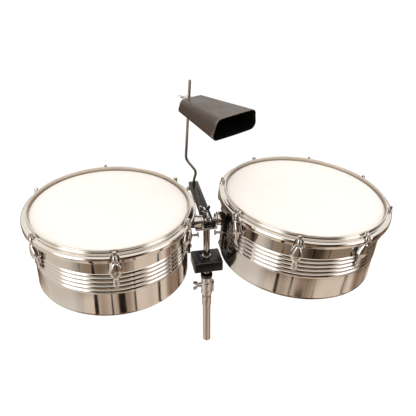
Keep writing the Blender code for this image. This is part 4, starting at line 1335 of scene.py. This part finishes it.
@dataclass
class Cowbell:
    """The cranked rod, and the bell that its clamp carries. The bell's X runs to its mouth."""

    rod_radius: float = 3.2 * MM
    length: float = 138.0 * MM
    mouth: tuple[float, float] = (132.5 * MM, 49.0 * MM)
    end: tuple[float, float] = (75.3 * MM, 30.1 * MM)
    flare: float = 1.08
    wall: float = 1.5 * MM
    corner: float = 15.5 * MM
    roll: float = -4.2
    crown: float = 1.0 * MM

    def rod(self) -> None:
        """The rod: up from its holder, out and back in a crank, then straight up to the bell."""
        low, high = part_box("cowbell_rod")
        foot = Vector(JOINTS["rod_swivel"]["pos_m"])
        swivel = JOINTS["bell_swivel"]
        along = Vector(swivel["axis"]).normalized()
        on_rod = Vector(swivel["pos_m"])
        top = on_rod + along * ((high[2] - on_rod.z) / along.z)
        upper = on_rod + along * ((foot.z + 81.1 * MM - on_rod.z) / along.z)
        start = Vector((foot.x, foot.y, low[2]))
        first = Vector((foot.x, foot.y, foot.z + 22.5 * MM))
        second = Vector((foot.x + 7.0 * MM, foot.y, foot.z + 45.5 * MM))
        route = eased((start, first, second, upper, top), 10.0 * MM, 8, closed=False)
        shape = swept(route, self.rod_radius)
        finished("cranked_rod", shape, CHROME_ROD, "bell_rod", ["cowbell_rod"])

    def ring(self, share: float, inset: float, crown: float) -> list[tuple]:
        """The bell's outline at a share of its length, moved in by inset, its broad faces bowed by crown.

        Args:
            share: 0 at the closed end, 1 at the mouth.
            inset: how far inside the outer face.
            crown: how far the broad faces bow out.

        Returns:
            The points, in the bell's frame.
        """
        width = self.end[0] + (self.mouth[0] - self.end[0]) * share
        height = self.end[1] + (self.mouth[1] - self.end[1]) * share
        corner = self.corner * height / self.mouth[1]
        points = []
        for up, side, start in ((1, 1, 0), (1, -1, 90), (-1, -1, 180), (-1, 1, 270)):
            flare = 1.0 if up > 0 else self.flare
            middle = (side * (width / 2 * flare - corner), up * (height / 2 - corner))
            for i in range(9):
                turn = math.radians(start + 11.25 * i)
                reach = corner - inset
                points.append((middle[0] + reach * math.cos(turn), middle[1] + reach * math.sin(turn)))
            half = width / 2 * (1.0 if start < 180 else self.flare) - corner
            if start in (0, 180):
                sign = 1.0 if start == 0 else -1.0
                for k in range(1, 10):
                    across = sign * half * (1.0 - 2.0 * k / 10)
                    points.append((across, sign * (height / 2 - inset)))
        return [
            (share * self.length, y, z + math.copysign(crown * max(0.0, 1.0 - (2.0 * y / width) ** 2), z))
            for y, z in points
        ]

    def bell(self, place: Matrix) -> None:
        """The bell: a folded sheet, thick at its mouth and closed behind.

        Args:
            place: the bell's frame.
        """
        shares = [i / 12 for i in range(13)]
        outside = [self.ring(share, 0.0, self.crown) for share in shares]
        inside = [self.ring(share, self.wall, self.crown) for share in reversed(shares[1:])]
        closed_end = [(self.wall, y, z) for _, y, z in self.ring(0.0, self.wall, self.crown)]
        lips = [
            [(self.length + 0.4 * MM, y, z) for _, y, z in self.ring(1.0, inset, self.crown)]
            for inset in (0.3 * MM, self.wall - 0.3 * MM)
        ]
        tuck = [(-0.6 * MM, y, z) for _, y, z in self.ring(0.0, 1.0 * MM, self.crown)]
        shape = skinned([tuck, *outside, *lips, *inside, closed_end])
        shape.faces.ensure_lookup_table()
        # The inside faces and the closed end's inner face take the near-black second finish: painted shade.
        around = len(tuck)
        for face in list(shape.faces)[around * (len(outside) + 2) :]:
            face.material_index = 1
        list(shape.faces)[-2].material_index = 0
        finished(
            "bell_body", shape, BELL, "bell", ["cowbell"], place=place, smooth=40.0,
            inner=INSIDE_PAINTED_SHADE,
        )

    def build(self) -> None:
        """Makes the rod, bell, clamp and wing bolt."""
        self.rod()
        wing = JOINTS["bell_wing_turn"]
        x_axis = Vector(wing["axis"]).normalized()
        swivel = JOINTS["bell_swivel"]
        back = Vector(wing["pos_m"])
        level = Vector((0.0, 0.0, 1.0)) - x_axis * x_axis.z
        up = Matrix.Rotation(math.radians(self.roll), 3, x_axis) @ level.normalized()
        origin = back + x_axis * 30.3 * MM
        place = axes(origin, x_axis, up)
        piece_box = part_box("cowbell")
        middle = (Vector(piece_box[0]) + Vector(piece_box[1])) / 2
        corners = [place @ Vector(point) for share in (0.0, 1.0) for point in self.ring(share, 0.0, 0.0)]
        lows = Vector([min(c[i] for c in corners) for i in range(3)])
        highs = Vector([max(c[i] for c in corners) for i in range(3)])
        across = place.col[1].to_3d()
        shift = (middle - (lows + highs) / 2).dot(across)
        self.bell(Matrix.Translation(across * shift) @ place)
        clamp = copied("bell_clamp", 0.9 * MM)
        finished("bell_clamp_block", clamp, CHROME_CAST, "bell", ["bell_clamp"], smooth=30.0)
        on_rod = Vector(swivel["pos_m"])
        shank = (on_rod - back).dot(x_axis) - self.rod_radius - 0.4 * MM
        screw = wing_screw(5.0 * MM, 11.0 * MM, 13.0 * MM, 2.5 * MM, shank)
        turned = axes(back, place.col[2].to_3d(), -x_axis) @ Matrix.Rotation(math.radians(112.0), 4, "Z")
        finished(
            "bell_wing_screw", screw, CHROME_CAST, "bell_wing", ["bell_wing_bolt"], place=turned
        )


@dataclass
class Studio:
    """The pale floor, the soft lights, what the chrome has around it, and the camera."""

    floor: float = -0.85
    camera_place: tuple[float, float, float] = (-0.206, -1.034, 1.0095)
    azimuth: float = -11.45
    elevation: float = 30.6
    lens: float = 48.05
    window: float = 3.0

    def plain(self, name: str, colour: str) -> bpy.types.Material:
        """A plain matt material.

        Args:
            name: its name.
            colour: sRGB hex of its paint.

        Returns:
            The material.
        """
        made = bpy.data.materials.new(name)
        made.use_nodes = True
        shader = made.node_tree.nodes["Principled BSDF"]
        shader.inputs["Base Color"].default_value = linear(colour)
        shader.inputs["Roughness"].default_value = 0.9
        return made

    def staged(self, name: str, shape: Shape, made: bpy.types.Material) -> bpy.types.Object:
        """Turns a bmesh into a piece of the stage, which is no part of the object.

        Args:
            name: its name.
            shape: the bmesh, which is freed.
            made: its material.

        Returns:
            The object.
        """
        mesh = bpy.data.meshes.new(name)
        shape.to_mesh(mesh)
        shape.free()
        mesh.materials.append(made)
        piece = bpy.data.objects.new(name, mesh)
        bpy.context.scene.collection.objects.link(piece)
        return piece

    def surround(self) -> None:
        """The room that the chrome mirrors: pale floor, brown far floor and wall, windows, bright ceiling."""
        made = bpy.data.materials.new("room seen in the chrome")
        made.use_nodes = True
        tree = made.node_tree
        tree.nodes.remove(tree.nodes["Principled BSDF"])
        place = add_node(tree, "ShaderNodeTexCoord").outputs["UV"]
        parts = add_node(tree, "ShaderNodeSeparateXYZ", inputs={0: place})
        turn, out = parts.outputs["X"], parts.outputs["Y"]
        # Furniture legs and door edges: dark upright streaks, and one dark figure on the near floor.
        streaks = noise(tree, stretched(tree, place, (1.0, 0.10, 1.0)), 190.0, detail=1.5)
        lines = ranged(tree, streaks, (0.36, 0.44), (0.0, 1.0))
        beside = ranged(tree, distance(tree, turn, -1.62), (0.06, 0.12), (0.0, 1.0))
        beyond = ranged(tree, distance(tree, out, 1.40), (0.10, 0.20), (0.0, 1.0))
        dark = maths(tree, "MULTIPLY", lines, maths(tree, "MAXIMUM", beside, beyond))
        patches = noise(tree, stretched(tree, place, (1.0, 0.15, 1.0)), 500.0, detail=0.0)
        broad = ranged(tree, patches, (0.35, 0.65), (0.0, 1.0))
        leftward = distance(tree, turn, 0.0)
        side = ranged(tree, leftward, (2.35, 2.85), (0.0, 0.95))
        near = mixed(tree, broad, linear("A98F7B"), linear("FFEBD9"))
        near = mixed(tree, dark, linear("2A201A"), near)
        near = mixed(tree, side, near, linear("FFF8F0"))
        far = mixed(tree, broad, linear("4E3F33"), linear("A8917C"))
        far = mixed(tree, dark, linear("1C1612"), far)
        far = mixed(tree, side, far, linear("F4E8DC"))
        colour = mixed(tree, ranged(tree, out, (1.62, 1.78), (0.0, 1.0)), near, far)
        wall = mixed(tree, broad, linear("2B231D"), linear("6B5A4C"))
        wall = mixed(tree, side, wall, linear("FFF6EC"))
        colour = mixed(tree, ranged(tree, out, (3.3, 3.7), (0.0, 1.0)), colour, wall)
        rear = ranged(tree, distance(tree, turn, math.pi / 2), (1.2, 1.7), (1.0, 0.0))
        behind = mixed(tree, rear, wall, linear("FFF8F0"))
        colour = mixed(tree, ranged(tree, out, (4.5, 4.8), (0.0, 1.0)), colour, behind)
        colour = mixed(tree, ranged(tree, out, (5.5, 6.1), (0.0, 1.0)), colour, linear("FFFAF5"))
        # Two windows, one on each side of the viewer.
        left = ranged(tree, distance(tree, turn, -math.pi / 2 - 0.95), (0.12, 0.46), (1.0, 0.0))
        right = ranged(tree, distance(tree, turn, -math.pi / 2 + 0.95), (0.12, 0.46), (0.8, 0.0))
        tall = ranged(tree, distance(tree, out, 4.6), (1.3, 2.2), (1.0, 0.0))
        pane = maths(tree, "MULTIPLY", maths(tree, "MAXIMUM", left, right), tall)
        colour = mixed(tree, pane, colour, linear("FFFFFF"))
        above = ranged(tree, out, (4.5, 5.6), (1.0, 1.25))
        lit = ranged(tree, pane, (0.0, 1.0), (0.0, self.window - 1.0))
        strength = maths(tree, "ADD", above, lit)
        glow = add_node(tree, "ShaderNodeEmission", inputs={"Color": colour, "Strength": strength})
        tree.links.new(glow.outputs[0], tree.nodes["Material Output"].inputs["Surface"])
        low = self.floor + 0.02
        profile = [(0.30, low), (1.4, low), (2.4, low), (3.4, low + 0.2), (3.6, 0.4), (3.4, 1.4), (2.8, 2.3)]
        profile += [(1.6, 3.0), (0.01, 3.2)]
        shape = bmesh.new()
        points = [shape.verts.new((radius, 0.0, z)) for radius, z in profile]
        edges = [shape.edges.new(pair) for pair in zip(points, points[1:])]
        whole = 2.0 * math.pi
        geom = points + edges
        bmesh.ops.spin(
            shape, geom=geom, cent=(0, 0, 0), axis=(0, 0, 1), angle=whole, steps=96, use_merge=True
        )
        map_around(shape, 1.0)
        lengths = {(profile[0][0], round(profile[0][1], 3)): profile[0][0]}
        length = profile[0][0]
        for before, after in zip(profile, profile[1:]):
            length += math.dist(before, after)
            lengths[(after[0], round(after[1], 3))] = length
        layer = shape.loops.layers.uv["UVMap"]
        for face in shape.faces:
            for loop in face.loops:
                key = (round(math.hypot(loop.vert.co.x, loop.vert.co.y), 3), round(loop.vert.co.z, 3))
                loop[layer].uv.y = lengths[key]
        room = self.staged("surround", shape, made)
        room.visible_camera = False
        room.visible_diffuse = False
        room.visible_shadow = False
        room.visible_transmission = False

    def light(
        self, name: str, place: tuple, aim: tuple, size: float, power: float, colour: str = "FFFFFF"
    ) -> None:
        """A soft square lamp that faces a point.

        Args:
            name: its name.
            place: where it stands.
            aim: the point it faces.
            size: its side, in metres.
            power: its power, in watts.
            colour: sRGB hex of its light.
        """
        lamp = bpy.data.lights.new(name, "AREA")
        lamp.size = size
        lamp.energy = power
        lamp.color = linear(colour)[:3]
        obj = bpy.data.objects.new(name, lamp)
        obj.location = place
        obj.rotation_euler = (Vector(aim) - Vector(place)).to_track_quat("-Z", "Y").to_euler()
        obj.visible_glossy = False
        bpy.context.scene.collection.objects.link(obj)

    def build(self) -> None:
        """Makes the floor, the lights, the surround and the camera."""
        scene = bpy.context.scene
        for obj in list(scene.objects):
            if obj.type in ("LIGHT", "CAMERA") or obj.name == "Cube":
                bpy.data.objects.remove(obj, do_unlink=True)
        scene.view_settings.view_transform = "Standard"
        shape = bmesh.new()
        bmesh.ops.create_grid(shape, x_segments=1, y_segments=1, size=30.0)
        bmesh.ops.translate(shape, vec=(0.0, 0.0, self.floor), verts=shape.verts)
        floor = self.staged("floor", shape, self.plain("pale painted floor", "FAFAFA"))
        floor.visible_glossy = False
        self.surround()
        world = bpy.data.worlds.new("studio")
        world.use_nodes = True
        world.node_tree.nodes["Background"].inputs["Color"].default_value = linear("FFFFFF")
        world.node_tree.nodes["Background"].inputs["Strength"].default_value = 1.08
        scene.world = world
        self.light("key", (-1.9, -1.25, 1.25), (0.0, 0.0, 0.35), 0.9, 14.0, "FFFAF4")
        self.light("fill", (1.75, -1.35, 1.2), (0.0, 0.0, 0.30), 0.8, 10.0)
        camera = bpy.data.cameras.new("camera")
        camera.lens = self.lens
        camera.sensor_width = 36.0
        view = bpy.data.objects.new("camera", camera)
        scene.collection.objects.link(view)
        turn, rise = math.radians(self.azimuth), math.radians(self.elevation)
        back = Vector((math.sin(turn) * math.cos(rise), -math.cos(turn) * math.cos(rise), math.sin(rise)))
        view.location = self.camera_place
        view.rotation_euler = (-back).to_track_quat("-Z", "Y").to_euler()
        scene.camera = view


def main() -> None:
    """Builds every sub-assembly in order."""
    logging.basicConfig(level=logging.INFO, format="%(message)s")
    Stand().build()
    Bracket().build()
    for side in Side:
        Drum(side).build()
        TiltMount(side).build()
    Arm().build()
    Cowbell().build()
    Studio().build()


if __name__ == "__main__":
    main()
